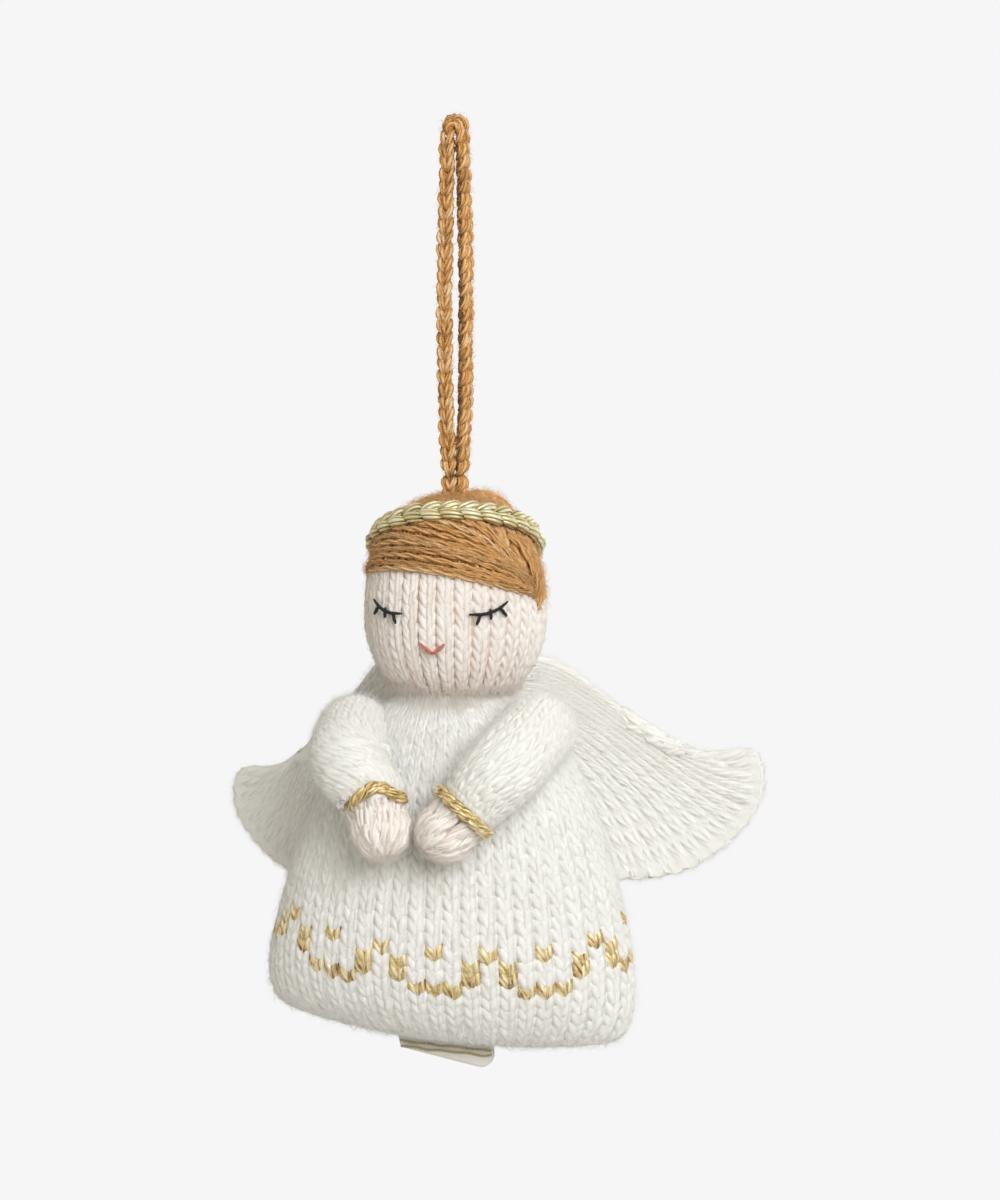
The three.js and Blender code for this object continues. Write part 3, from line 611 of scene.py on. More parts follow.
class Shader:
    """A node material with a Principled shader and short ways to add nodes."""

    def __init__(self, name, roughness=0.9, metallic=0, sheen=0.0, specular=0.3):
        self.material = bpy.data.materials.new(name)
        self.material.use_nodes = True
        self.tree = self.material.node_tree
        self.principled = self.tree.nodes["Principled BSDF"]
        self.settle({
            "Roughness": roughness, "Metallic": metallic, "Sheen Weight": sheen,
            "Sheen Roughness": 0.5, "Specular IOR Level": specular,
        })

    def settle(self, values):
        for socket, value in values.items():
            self.principled.inputs[socket].default_value = value

    def node(self, kind, inputs=None, **settings):
        made = self.tree.nodes.new(kind)
        for key, value in settings.items():
            setattr(made, key, value)
        for key, value in (inputs or {}).items():
            self.put(made.inputs[key], value)
        return made

    def put(self, socket, value):
        if isinstance(value, bpy.types.NodeSocket):
            self.tree.links.new(value, socket)
        else:
            socket.default_value = value

    def math(self, operation, *values):
        return self.node("ShaderNodeMath", dict(enumerate(values)), operation=operation).outputs[0]

    def ramp(self, factor, stops):
        made = self.node("ShaderNodeValToRGB", {"Fac": factor})
        made.color_ramp.elements.remove(made.color_ramp.elements[1])
        made.color_ramp.elements[0].position = stops[0][0]
        made.color_ramp.elements[0].color = stops[0][1]
        for position, colour in stops[1:]:
            made.color_ramp.elements.new(position).color = colour
        return made.outputs["Color"]

    def attribute(self, name):
        return self.node("ShaderNodeAttribute", attribute_name=name).outputs["Fac"]

    def noise(self, place, scale, detail, roughness=0.5):
        values = {"Vector": place, "Scale": scale, "Detail": detail, "Roughness": roughness}
        return self.node("ShaderNodeTexNoise", values).outputs["Fac"]

    def bump(self, height, strength, distance):
        made = self.node("ShaderNodeBump", {"Height": height, "Strength": strength, "Distance": distance})
        self.put(self.principled.inputs["Normal"], made.outputs["Normal"])

    def colour(self, value):
        self.put(self.principled.inputs["Base Color"], value)


def tint(code):
    """Linear colour of a hex code."""
    parts = [int(code[k:k + 2], 16) / 255 for k in (0, 2, 4)]
    return [p / 12.92 if p <= 0.04045 else ((p + 0.055) / 1.055) ** 2.4 for p in parts] + [1]


def yarn_material(
    name, dark, middle, light, plies=3, twist=0.3, spread=0.3, bump=0.6, shade=0.3, glow=0,
    grain=0.7, vary=0.16, **shine,
):
    """Spun yarn: twisted plies, fine fibres along them, painted shade deep in the fabric and in the ply
    grooves, and painted highlight on the ply crests.
    """
    shader = Shader(name, **shine)
    if glow:
        shader.principled.subsurface_method = "BURLEY"
        shader.settle({
            "Subsurface Weight": glow, "Subsurface Radius": (1, 0.9, 0.8), "Subsurface Scale": 0.0014,
        })
    uv = shader.node("ShaderNodeUVMap", uv_map="yarn").outputs["UV"]
    split = shader.node("ShaderNodeSeparateXYZ", {0: uv})
    along, round_ = split.outputs[0], split.outputs[1]
    tone, deep = shader.attribute("tone"), shader.attribute("deep")
    phase = shader.math("MULTIPLY_ADD", along, twist, shader.math("MULTIPLY", round_, plies))
    ply = shader.math("ABSOLUTE", shader.math("SINE", shader.math("MULTIPLY", phase, math.pi)))
    spot = shader.node("ShaderNodeCombineXYZ", {
        0: shader.math("MULTIPLY", along, grain),
        1: shader.math("MULTIPLY", phase, 5 * grain),
        2: shader.math("MULTIPLY", tone, 9),
    }).outputs[0]
    fibre = shader.noise(spot, 1, 4, 0.65)
    factor = shader.math("MULTIPLY_ADD", tone, vary, 0.5 - 0.5 * spread - 0.13)
    factor = shader.math("MULTIPLY_ADD", fibre, spread, factor)
    # Ply grooves darker and crests lighter: painted shade and painted highlight of the twist
    factor = shader.math("MULTIPLY_ADD", ply, 0.26, factor)
    # The deep attribute darkens the colour: painted shade where the yarn lies deep in the fabric
    factor = shader.math("MULTIPLY_ADD", deep, -shade, factor)
    shader.colour(shader.ramp(factor, [(0, tint(dark)), (0.5, tint(middle)), (1, tint(light))]))
    height = shader.math("MULTIPLY_ADD", fibre, 0.5, shader.math("POWER", ply, 0.6))
    shader.bump(height, bump, 0.0003)
    return shader.material


def fibre_material(name, dark, light, scale=900, bump=0.5):
    """Matted fibres, for the inside of the knit, there coloured darker as painted shade, and for the
    stuffing.
    """
    shader = Shader(name)
    place = shader.node("ShaderNodeTexCoord").outputs["Object"]
    noise = shader.noise(place, scale, 5, 0.7)
    shader.colour(shader.ramp(noise, [(0.3, tint(dark)), (0.7, tint(light))]))
    shader.bump(noise, bump, 0.0004)
    return shader.material


def tape_material(name, dark, light, threads=2.2):
    """Woven cotton tape, in threads for each millimetre."""
    shader = Shader(name, sheen=0.2)
    uv = shader.node("ShaderNodeUVMap", uv_map="yarn").outputs["UV"]
    split = shader.node("ShaderNodeSeparateXYZ", {0: uv})
    waves = []
    for axis in (0, 1):
        turn = shader.math("MULTIPLY", split.outputs[axis], 2 * math.pi * threads)
        waves.append(shader.math("SINE", turn))
    weave = shader.math("MULTIPLY", *waves)
    factor = shader.math("MULTIPLY_ADD", weave, 0.2, shader.noise(uv, 1.4, 5, 0.6))
    shader.colour(shader.ramp(factor, [(0.2, tint(dark)), (0.75, tint(light))]))
    shader.bump(weave, 0.5, 0.0001)
    return shader.material


# In each yarn the darker colours also serve as painted shade (deep in the fabric, ply grooves) and the
# lighter ones as painted highlight on ply crests
WHITE = yarn_material("white_wool", "d8d2c6", "f6f5f2", "fbfaf8", bump=0.8, shade=0.15, glow=0.5, sheen=0.1)
# Gold: its dark brown and near-white ends, reached in specks by the strong fibre noise, are painted shade and
# painted glints
GOLD = yarn_material(
    "gold_thread", "745220", "e5c985", "fff9e0", plies=4, twist=0.5, spread=2.8, bump=0.9, shade=0.5,
    grain=0.42, metallic=0.3, roughness=0.36, specular=0.5,
)
SKIN = yarn_material("skin_wool", "d8c1b3", "f7f0eb", "fcf7f4", bump=0.7, shade=0.25, glow=0.35, sheen=0.1)
# Caramel: the dark brown and pale cream ends are painted crevice shade and painted highlight
CARAMEL = yarn_material(
    "caramel_wool", "7c4d1e", "f2b56a", "ffe8c0", spread=0.9, bump=1.0, shade=0.6, grain=0.5, vary=0.3,
    sheen=0.2,
)
# Pale gold: the near-white end and the dark brown end, with strong deep shade, are painted highlight and
# painted crevice shade
PALE_GOLD = yarn_material(
    "pale_gold_thread", "4d3a12", "d8c68c", "fffef6", plies=7, twist=0.35, spread=1.4, bump=1.0, shade=0.9,
    grain=0.5, metallic=0.35, roughness=0.34, specular=0.6,
)
BLACK = yarn_material("black_thread", "151515", "2b2b2b", "4a4846", roughness=0.7)
CORAL = yarn_material("coral_thread", "dc6c58", "f2937f", "fbbcae", spread=0.5, bump=0.9, roughness=0.8)
WHITE_WISP = fibre_material("white_wisps", "f4f2ee", "fdfcfb", bump=0)
SKIN_WISP = fibre_material("skin_wisps", "f4eadf", "fcf5ee", bump=0)
CARAMEL_WISP = fibre_material("caramel_wisps", "d39d5a", "efc892", bump=0)
# The white, skin and caramel inside materials are backing sheets coloured darker than their yarn: painted
# shade between the stitches
WHITE_INSIDE_SHADE = fibre_material("white_wool_inside_painted_shade", "dfd4bf", "f1eadc")
WHITE_FELT = fibre_material("white_felted_wool", "f3f1ec", "fdfcfa")
SKIN_INSIDE_SHADE = fibre_material("skin_wool_inside_painted_shade", "d3b8a7", "ebdbd0")
CARAMEL_INSIDE_SHADE = fibre_material("caramel_wool_inside_painted_shade", "6f4419", "a06c33")
STUFFING = fibre_material("filling_fibre", "dededb", "f7f7f4", scale=350, bump=1)
TAPE = tape_material("cotton_tape", "f2ecdf", "fffdf8")
BROWN_THREAD = yarn_material("tan_thread", "a58b64", "d6c09a", "efe2c8", roughness=0.8)


# Camera, lamps and floor

def stand(name, data, place, look):
    """Puts a camera or lamp at a place, turned along look."""
    made = bpy.data.objects.new(name, data)
    made.location = place
    made.rotation_euler = look.to_track_quat("-Z", "Y").to_euler()
    bpy.context.scene.collection.objects.link(made)
    return made


def camera():
    data = bpy.data.cameras.new("camera")
    data.sensor_fit = "AUTO"
    data.sensor_width = SENSOR
    data.lens = SENSOR * DISTANCE / VIEW_HEIGHT
    data.clip_start = 0.01
    data.clip_end = 20
    level = math.cos(ELEVATION)
    away = Vector((math.sin(AZIMUTH) * level, -math.cos(AZIMUTH) * level, math.sin(ELEVATION)))
    bpy.context.scene.camera = stand("camera", data, Vector(AIM) + DISTANCE * away, -away)


def lamp(name, place, size, power, colour=(1, 1, 1)):
    data = bpy.data.lights.new(name, "AREA")
    data.shape = "DISK"
    data.size = size
    data.energy = power
    data.color = colour
    stand(name, data, place, Vector(LAMP_AIM) - Vector(place))


def backdrop(ambient, shown):
    world = bpy.data.worlds.new("backdrop")
    world.use_nodes = True
    bpy.context.scene.world = world
    tree = world.node_tree
    path = tree.nodes.new("ShaderNodeLightPath")
    rays = path.outputs["Is Camera Ray"]
    for kind in ("Is Glossy Ray", "Is Transmission Ray"):
        widest = tree.nodes.new("ShaderNodeMath")
        widest.operation = "MAXIMUM"
        tree.links.new(rays, widest.inputs[0])
        tree.links.new(path.outputs[kind], widest.inputs[1])
        rays = widest.outputs[0]
    light = tree.nodes["Background"]
    light.inputs["Color"].default_value = AMBIENT_TINT
    light.inputs["Strength"].default_value = ambient
    seen = tree.nodes.new("ShaderNodeBackground")
    seen.inputs["Color"].default_value = tint(shown)
    seen.inputs["Strength"].default_value = 1
    mix = tree.nodes.new("ShaderNodeMixShader")
    tree.links.new(rays, mix.inputs[0])
    tree.links.new(light.outputs[0], mix.inputs[1])
    tree.links.new(seen.outputs[0], mix.inputs[2])
    tree.links.new(mix.outputs[0], tree.nodes["World Output"].inputs["Surface"])


def floor():
    turn = np.linspace(0, 2 * np.pi, 65)
    reach = np.linspace(0, FLOOR_RADIUS, 9)[:, None] * 1000
    level = FLOOR_Z * 1000 + HANG_Z + 0 * reach * turn
    grid = np.stack([reach * np.cos(turn), reach * np.sin(turn), level], axis=-1)
    sheet = Yarn()
    sheet.surface(grid, deep=0)
    shader = Shader("pale_floor", roughness=0.8)
    place = shader.node("ShaderNodeTexCoord").outputs["Object"]
    shader.colour(shader.ramp(shader.noise(place, 60, 3), [(0.3, tint("ededed")), (0.7, tint("f2f2f2"))]))
    flat = shader.node("ShaderNodeVectorMath", {0: place, 1: (1, 1, 0)}, operation="MULTIPLY").outputs[0]
    far = shader.node("ShaderNodeVectorMath", {0: flat}, operation="LENGTH").outputs["Value"]
    edge = {"Value": far, "From Min": FLOOR_CLEAR, "From Max": FLOOR_RADIUS, "To Min": 1, "To Max": 0}
    fade = shader.node("ShaderNodeMapRange", edge, interpolation_type="SMOOTHSTEP").outputs[0]
    shader.put(shader.principled.inputs["Alpha"], fade)
    sheet.build("floor", [shader.material])


camera()
lamp("key", (0.58, -0.83, 0.36), 0.7, 9.3, (0.95, 0.98, 1))
lamp("fill", (-0.8, -0.6, 0.1), 0.8, 0.9)
lamp("back", (0.6, 0.8, 0.2), 0.8, 2.8)
backdrop(0.34, "f6f6f6")
floor()


def finish(yarn, name, materials, body, slot, *nodes):
    """Makes a piece of the yarn and sets it on its body, hiding the nodes it stands for. The slot is not
    used.
    """
    piece = yarn.build(name, materials)
    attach(piece, body)
    if nodes:
        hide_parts(*nodes)
    return piece


# Hanging loop

def loop_line(count=240):
    legs = np.array(LOOP_LEG)
    half = legs[:, 1] + CORD / 2 - np.array(LOOP_PRESS)
    leg = np.stack([-half, 0 * half, LOOP_Z + legs[:, 0]], axis=1)
    turn = np.linspace(0, np.pi, 17)[1:-1]
    top = np.stack([-half[-1] * np.cos(turn), 0 * turn, TURN_Z + LOOP_TURN * np.sin(turn)], axis=1)
    line = np.vstack([leg, top, leg[::-1] * [-1, 1, 1]])
    return evenly(spline(line, np.linspace(0, 1, 1200)), count)


def cord_chain(yarn, line, outs, links):
    """The chain that the loop and its knotted ends are crocheted of."""
    wide, thick = CORD / 2 - 0.1, CORD / 2 - 0.2
    chain(yarn, line, outs, links, wide, thick, LOOP_YARN, plies=2, shape=BRAID_LEG)


def make_loop():
    line = loop_line()
    ahead = unit(np.gradient(line, axis=0))
    outer = np.cross(ahead, [0, 1, 0])
    outer = outer * np.sign(np.sum(outer * (line - [0, 0, (LOOP_Z + TURN_Z) / 2]), axis=1))[:, None]
    share = np.linspace(0, 1, len(line))
    swing = np.radians(80) * np.clip((share - 0.44) / 0.12, 0, 1)[:, None]
    outs = np.cos(swing) * [0, -1, 0] + np.sin(swing) * outer
    yarn = Yarn()
    cord_chain(yarn, line, outs, LOOP_LINKS)
    fibres = np.repeat(np.arange(len(line)), LOOP_FIBRES)
    away = unit(rng.normal(size=(len(fibres), 3)) + outs[fibres] * 0.6)
    fuzz(yarn, line[fibres] + away * 1.2, away, 1.3, LONG_FIBRE, slot=1)
    piece = finish(yarn, "loop_chain", [CARAMEL, CARAMEL_WISP], "loop", "caramel_yarn", "hanging_loop")


make_loop()


# Dress

DRESS_STATIONS = np.vstack([
    np.array(DRESS_PROFILE)[:, [1, 2, 0]] * [DRESS_WIDTH / 2, DRESS_DEPTH / 2, DRESS_HEIGHT],
    [NECK_RADIUS + 0.6, NECK_RADIUS + 0.5, DRESS_HEIGHT + 0.5],
])


def hem_lift(x, z):
    fade = np.maximum(0, 1 - z / HEM_FADE) ** 2
    return fade * (HEM_SMILE * (x / (DRESS_WIDTH / 2)) ** 2 - HEM_SLANT * x)


def dress_points(profile, turn):
    """Points for profile stations (half width, half depth, height), at angles from the front."""
    wide, deep, height = (profile[:, k, None] for k in range(3))
    x = wide * np.sin(turn)
    lean = DRESS_LEAN * (DRESS_HEIGHT - height)
    return np.stack([x + lean, -deep * np.cos(turn), height + hem_lift(x, height)], axis=-1)


def dress_point(share, angle):
    profile = spline(DRESS_STATIONS, np.array([share]))
    return dress_points(profile, np.radians([[angle]]))[0, 0]


def dress_normal(share, angle):
    round_ = dress_point(share, angle + 0.5) - dress_point(share, angle - 0.5)
    return unit(np.cross(round_, dress_point(share + 0.005, angle) - dress_point(share - 0.005, angle)))


DRESS_SHARES = np.linspace(0, 1, 801)
DRESS_LINE = spline(DRESS_STATIONS, DRESS_SHARES)


def dress_share(height):
    return float(np.interp(height, DRESS_LINE[:, 2], DRESS_SHARES))


def even_turns(wide, deep, places):
    """Angles from the front that part an ellipse's edge evenly."""
    turn = np.linspace(-np.pi, 3 * np.pi, 1441)
    run = run_length(np.stack([wide * np.sin(turn), deep * np.cos(turn)], axis=1))
    return np.interp((places + 0.5) * run[-1] / 2, run, turn)


def dress_cloth():
    """Rows lie at equal steps up each column from the hem, and level out towards the neck."""
    places = (np.linspace(0, DRESS_COLUMNS, DRESS_COLUMNS * 4 + 1) - FRONT_COLUMN) / DRESS_COLUMNS
    turn = np.array([even_turns(wide, deep, places) for wide, deep, _ in DRESS_LINE])
    dense = dress_points(DRESS_LINE, turn)
    rows = np.linspace(0, DRESS_ROWS, DRESS_ROWS * 4 + 1)
    grid = np.empty((len(rows), len(places), 3))
    for k in range(len(places)):
        run = run_length(dense[:, k])
        spare = run[-1] - DRESS_ROWS * ROW_HEIGHT
        sag = np.interp(math.sin(turn[0, k]), np.linspace(-1, 1, 5), ROW_SAG)
        steps = rows * ROW_HEIGHT + spare * (rows / DRESS_ROWS) ** 2 - sag * (1 - rows / DRESS_ROWS)
        steps = np.maximum(steps, LEAST_STEP * rows)
        grid[:, k] = at_run(steps, run, dense[:, k])
    return Cloth(grid, DRESS_COLUMNS, DRESS_ROWS, closed=True)


def stuffing(name, body, node, rings):
    """A closed lumpy form through rings of points."""
    lumps = rng.normal(0, 0.12, rings.shape[:2])
    middle = rings.mean(axis=1, keepdims=True)
    rings = rings - unit(rings - middle) * np.abs(lumps)[..., None]
    rings[:, -1] = rings[:, 0]
    rings = np.concatenate([
        np.broadcast_to(middle[:1], rings[:1].shape), rings, np.broadcast_to(middle[-1:], rings[:1].shape),
    ])
    yarn = Yarn()
    yarn.surface(rings, deep=0)
    finish(yarn, name, [STUFFING], body, "filling_fibre", node)


def stitches_of(columns, rows):
    """Column and row of every stitch of a cloth."""
    column, row = np.meshgrid(np.arange(columns), np.arange(rows))
    return column.ravel(), row.ravel()


def surface_fuzz(yarn, cloth, count, length, radius=FIBRE, keep=None, slot=0):
    point, normal, _ = cloth.at(rng.uniform(0, cloth.columns, count), rng.uniform(0, cloth.rows, count))
    if keep is not None:
        chosen = keep(point)
        point, normal = point[chosen], normal[chosen]
    fuzz(yarn, point, normal, length, radius, slot=slot)


DRESS = dress_cloth()


def make_dress():
    column, row = stitches_of(DRESS_COLUMNS, DRESS_ROWS)
    gold = np.zeros(len(row), int)
    for step, chosen in enumerate(GOLD_CHART):
        gold[(row == GOLD_ROW + step) & np.isin(column % GOLD_REPEAT, chosen)] = 1
    yarn = Yarn()
    knit(yarn, DRESS, column, row, slot=gold)
    # Backing sheet in painted shade colour, seen between the stitches
    yarn.surface(DRESS.inside(WHITE_BACKING)[::2, ::2], slot=2)
    finish(yarn, "dress_knit", [WHITE, GOLD, WHITE_INSIDE_SHADE], "figure", "white_yarn", "dress")
    inner = DRESS.inside(STUFFING_INSET)
    stuffing("body_stuffing", "figure", "body_filling", inner[3:-1:4, ::3])
    for name, length in (("dress_fuzz_long", 2.1), ("dress_fuzz_short", 1.2)):
        loose = Yarn()
        surface_fuzz(loose, DRESS, DRESS_FIBRES, length)
        finish(loose, name, [WHITE_WISP], "figure", "white_yarn")


def make_hem():
    rim = DRESS_STATIONS[0]
    reach = SEAM_REACH * rim[0]
    across = np.arange(-reach, reach + 0.1, SEAM_PITCH)
    turn = np.radians(np.linspace(-20, 200, 12))
    shift = np.linspace(-SEAM_SLOPE, SEAM_SLOPE, 12)
    x = across[:, None] + shift
    slit = rim[1] * np.sqrt(np.maximum(1 - (x / rim[0]) ** 2, 0)) + 0.25
    middle, half = SEAM_RISE / 2 + SEAM_SET, SEAM_RISE / 2
    y, z = -slit * np.cos(turn), middle - half * np.sin(turn) + 0 * x
    centre = np.stack([x + HEM_SHIFT, y, z + hem_lift(x, 0)], axis=-1)
    normal = np.stack([0 * y, y, z - middle], axis=-1)
    yarn = Yarn()
    strand(yarn, centre, unit(normal), SEAM_YARN, plies=1, sides=8, capped=True)
    run = np.linspace(-reach, reach, 60)
    spine = np.stack([run + HEM_SHIFT, 0 * run, hem_lift(run, 0) + middle], axis=-1)
    strand(yarn, spine[None], np.array([0, -1, 0]), SEAM_CORE, plies=3, sides=6, turns=0.2, capped=True)
    finish(yarn, "hem_stitches", [WHITE], "figure", "white_yarn", "hem_seam")


def make_neck():
    turn = np.linspace(0, 2 * np.pi, 121)
    radius = NECK_RADIUS - 0.3
    level = DRESS_HEIGHT + GAP
    line = np.stack([radius * np.sin(turn), -radius * np.cos(turn), np.full(121, level)], axis=-1)
    spoke = unit(line - [0, 0, level])
    yarn = Yarn()
    strand(yarn, line[None], spoke[None], NECK_THREAD / 2, turns=0.3)
    # Skin-coloured fuzz round the neck: partly the head's own wisps, partly painted warm bounce light in the
    # crease under the chin
    around = np.repeat(np.arange(120), 40)
    rise = rng.uniform(-1.4, 2.6, (len(around), 1))
    out = np.maximum(rise * 0.85, -rise * 1.2) + 0.5
    fuzz(yarn, line[around] + spoke[around] * out + rise * [0, 0, 1], spoke[around], 1.9, slot=1)
    finish(yarn, "neck_cord", [WHITE, SKIN_WISP], "figure", "white_yarn", "neck_thread")


make_dress()
make_hem()
make_neck()


# Head, hair and face

def head_profile(angle):
    power = np.where(angle < 0, LOWER_POWER, UPPER_POWER)
    reach = np.where(angle < 0, -HEAD_LOWER, HEAD_UPPER)
    radius = HEAD_RADIUS * np.maximum(np.cos(np.radians(angle)), 0) ** (2 / power)
    return radius, HEAD_Z + reach * np.abs(np.sin(np.radians(angle))) ** (2 / power)


def head_angle(z):
    z = np.asarray(z, float)
    power = np.where(z < HEAD_Z, LOWER_POWER, UPPER_POWER)
    reach = np.where(z < HEAD_Z, HEAD_LOWER, HEAD_UPPER)
    share = np.minimum(np.abs(z - HEAD_Z) / reach, 1)
    return np.sign(z - HEAD_Z) * np.degrees(np.arcsin(share ** (power / 2)))


def head_point(angle, round_, lift=0):
    """Point at a profile angle and an angle round from the front, moved outward by lift."""
    radius, z = head_profile(angle)
    above, below = head_profile(np.minimum(angle + 0.5, 90)), head_profile(np.maximum(angle - 0.5, -90))
    rise, draw = above[1] - below[1], below[0] - above[0]
    size = np.hypot(rise, draw)
    radius, z = radius + lift * rise / size, z + lift * draw / size
    turn = np.radians(round_)
    x, y = radius * np.sin(turn), -HEAD_FLATTEN * radius * np.cos(turn)
    return np.stack(np.broadcast_arrays(x, y, z), axis=-1)


def head_at(z, round_, lift=0):
    return head_point(head_angle(z), round_, lift)


def hairline(round_):
    turn = np.radians(round_)
    fall_back = HAIRLINE_FALL_BACK * (1 - np.cos(turn)) / 2
    return HEAD_Z + HAIRLINE_FRONT - fall_back - HAIRLINE_FALL_LEFT * np.sin(turn)


def head_cloth():
    angles = np.linspace(float(head_angle(DRESS_HEIGHT + 2 * GAP)), CROWN_ANGLE, 900)
    run = run_length(np.stack(head_profile(angles), axis=1))
    angle = np.interp(np.linspace(0, run[-1], HEAD_ROWS * 4 + 1), run, angles)
    round_ = np.linspace(0, 360, HEAD_COLUMNS * 4 + 1) - 180
    return Cloth(head_point(angle[:, None], round_[None]), HEAD_COLUMNS, HEAD_ROWS, closed=True)


def is_hair(points):
    """True above the hairline, which lies under the strands in front."""
    round_ = np.degrees(np.arctan2(points[..., 0], -points[..., 1] / HEAD_FLATTEN))
    return points[..., 2] > hairline(round_) + np.where(np.abs(round_) < 75, 1.6, 0)


HEAD = head_cloth()


def make_head():
    column, row = stitches_of(HEAD_COLUMNS, HEAD_ROWS)
    middle = HEAD.at(column + 0.5, row + 0.5)[0]
    hair = is_hair(middle)
    # Painted shade on the head's lowest rows, under the chin
    dim = 0.8 * np.clip(1 - row / 4, 0, 1)
    bottom = int(np.argmax(HEAD.points[:, :, 2].min(axis=1) > hairline(180)))
    skin = Yarn()
    knit(skin, HEAD, column[~hair], row[~hair], 0.215, sides=8, steps=6, flat=1.05, lean=0.85, dim=dim[~hair])
    # Skin backing in painted shade colour under the face stitches
    skin.surface(HEAD.inside(SKIN_BACKING)[:bottom + 26], slot=1)
    surface_fuzz(skin, HEAD, HEAD_FIBRES, 1.2, FINE_FIBRE, keep=lambda p: ~is_hair(p), slot=2)
    finish(skin, "head_knit", [SKIN, SKIN_INSIDE_SHADE, SKIN_WISP], "figure", "skin_yarn", "head_skin")
    cap = Yarn()
    knit(cap, HEAD, column[hair], row[hair], 0.21, sides=7, steps=6, flat=1, lean=0.7)
    # Hair backing in painted shade colour under the cap stitches
    cap.surface(HEAD.inside(HAIR_BACKING)[bottom + 16:], slot=1)
    surface_fuzz(cap, HEAD, HAIR_FIBRES, 1.9, LONG_FIBRE, keep=is_hair, slot=2)
    finish(cap, "hair_knit", [CARAMEL, CARAMEL_INSIDE_SHADE, CARAMEL_WISP], "figure", "caramel_yarn", "hair_cap")
    stuffing("head_stuffing", "figure", "head_filling", HEAD.inside(STUFFING_INSET)[1:-3:3, ::3])


def halo_height(round_):
    """Height of the halo's middle at angles from the front."""
    z = np.full(len(round_), CROWN_Z - HALO_DROP)
    for _ in range(HALO_ROUNDS):
        point = head_at(z, round_)
        z = CROWN_Z - HALO_DROP - HALO_SLOPE * point[:, 1] + HALO_LEAN * point[:, 0]
    return z


def make_fringe():
    """Strands laid over the forehead, and a lock from under the halo that meets their pinched end."""
    along = np.linspace(0, 1, 60)
    round_ = FRINGE_FROM + (FRINGE_TO - FRINGE_FROM) * along
    height = FRINGE_HEIGHT * (1 + (FRINGE_TIP - 1) * along ** 4)
    tuck = np.sin(np.pi * (0.03 + 0.94 * along)) ** 0.5
    yarn = Yarn()

    def lay(z, around, lift, size=0.72):
        out = GAP + lift - 1.2 * (1 - tuck)
        line = head_at(z, around, out)
        normal = unit(line - head_at(z, around, out - 1))
        radii = size * (0.6 + 0.4 * tuck)
        strand(yarn, line[None], normal[None], radii, plies=2, sides=7, turns=0.13, capped=True)
        pick = np.repeat(np.arange(60), 3)
        fuzz(yarn, line[pick] + normal[pick] * 0.5, normal[pick], 1.4, slot=1)

    # Dark underlayer under the fringe strands: painted shade in the gaps between them
    shares = np.linspace(0.04, 0.94, 7)[:, None]
    yarn.surface(head_at(hairline(round_) + shares * height, round_, 0.1 - 1.2 * (1 - tuck)), slot=2)
    for k in range(FRINGE_STRANDS + 3):
        loose = k >= FRINGE_STRANDS
        share = rng.uniform(0.15, 0.9) if loose else (k + 0.4) / FRINGE_STRANDS
        wander = (0.6 if loose else 0.25) * np.sin(2 * np.pi * (along * rng.uniform(0.6, 1.4) + rng.random()))
        z = hairline(round_) + share * height + wander
        lay(z, round_, (0.8 if loose else 0.3) + rng.normal(0, 0.12), 0.4 if loose else FRINGE_YARN)
    ring = halo_height(round_)
    fall = np.clip((along - 0.72) / 0.28, 0, 1) ** 2
    for k in range(FRINGE_SWEEPS):
        wander = 0.2 * np.sin(2 * np.pi * (along * rng.uniform(0.6, 1.4) + rng.random()))
        z = np.minimum(hairline(round_) + height + (k + 0.4) * FRINGE_PITCH + wander, ring)
        z = z + fall * (hairline(FRINGE_TO) + 0.3 * height[-1] - z)
        lay(z, round_ + fall * (FRINGE_PINCH - FRINGE_TO), 0.35 + rng.normal(0, 0.1), FRINGE_YARN)
    for start, end in FRINGE_LOCK:
        around = start + (FRINGE_PINCH - start) * along ** 0.8
        high, low = hairline(start) + FRINGE_HEIGHT + 3.4, hairline(FRINGE_PINCH) + end
        lay(high + (low - high) * along ** 1.15, around, 0.6)
    materials = [CARAMEL, CARAMEL_WISP, CARAMEL_INSIDE_SHADE]
    finish(yarn, "fringe_strands", materials, "figure", "caramel_yarn", "hair_fringe")


def winding(yarn, centre, half, count, radius, tilt, poles, stations=48, sides=7):
    """Turns of yarn wound round an ellipsoid, about an axis that wanders by tilt."""
    turn = np.linspace(0, 2 * np.pi, stations + 1)
    for _ in range(count):
        axis = unit(np.asarray(poles, float) + rng.normal(0, tilt, 3))
        first = unit(np.cross(axis, [0.3, 0.5, 0.8]))
        second = np.cross(axis, first)
        height = rng.uniform(-0.75, 0.75)
        ring = np.sqrt(1 - height ** 2) * (np.cos(turn)[:, None] * first + np.sin(turn)[:, None] * second)
        ball = (ring + height * axis) * (1 + rng.uniform(-0.06, 0.02))
        line = centre + ball * half
        yarn.tubes(line[None], unit(ball / half)[None], radius, sides)


def make_bun():
    centre = np.array([BUN_SIDE, BUN_BACK, CROWN_Z - BUN_SINK])
    half = np.array([BUN_WIDTH / 2, BUN_WIDTH / 2, BUN_HEIGHT / 2]) - BUN_YARN
    yarn = Yarn()
    winding(yarn, centre, half, 30, BUN_YARN, 0.35, [0, 0.6, 0.8])
    winding(yarn, centre, half, 26, BUN_YARN, 0.5, [1, 0.2, 0.3])
    ball = unit(rng.normal(size=(BUN_FIBRES, 3)))
    fuzz(yarn, centre + ball * (half + 0.6), ball, 2, COARSE_FIBRE, slot=1)
    finish(yarn, "bun_winding", [CARAMEL, CARAMEL_WISP], "figure", "caramel_yarn", "hair_bun")


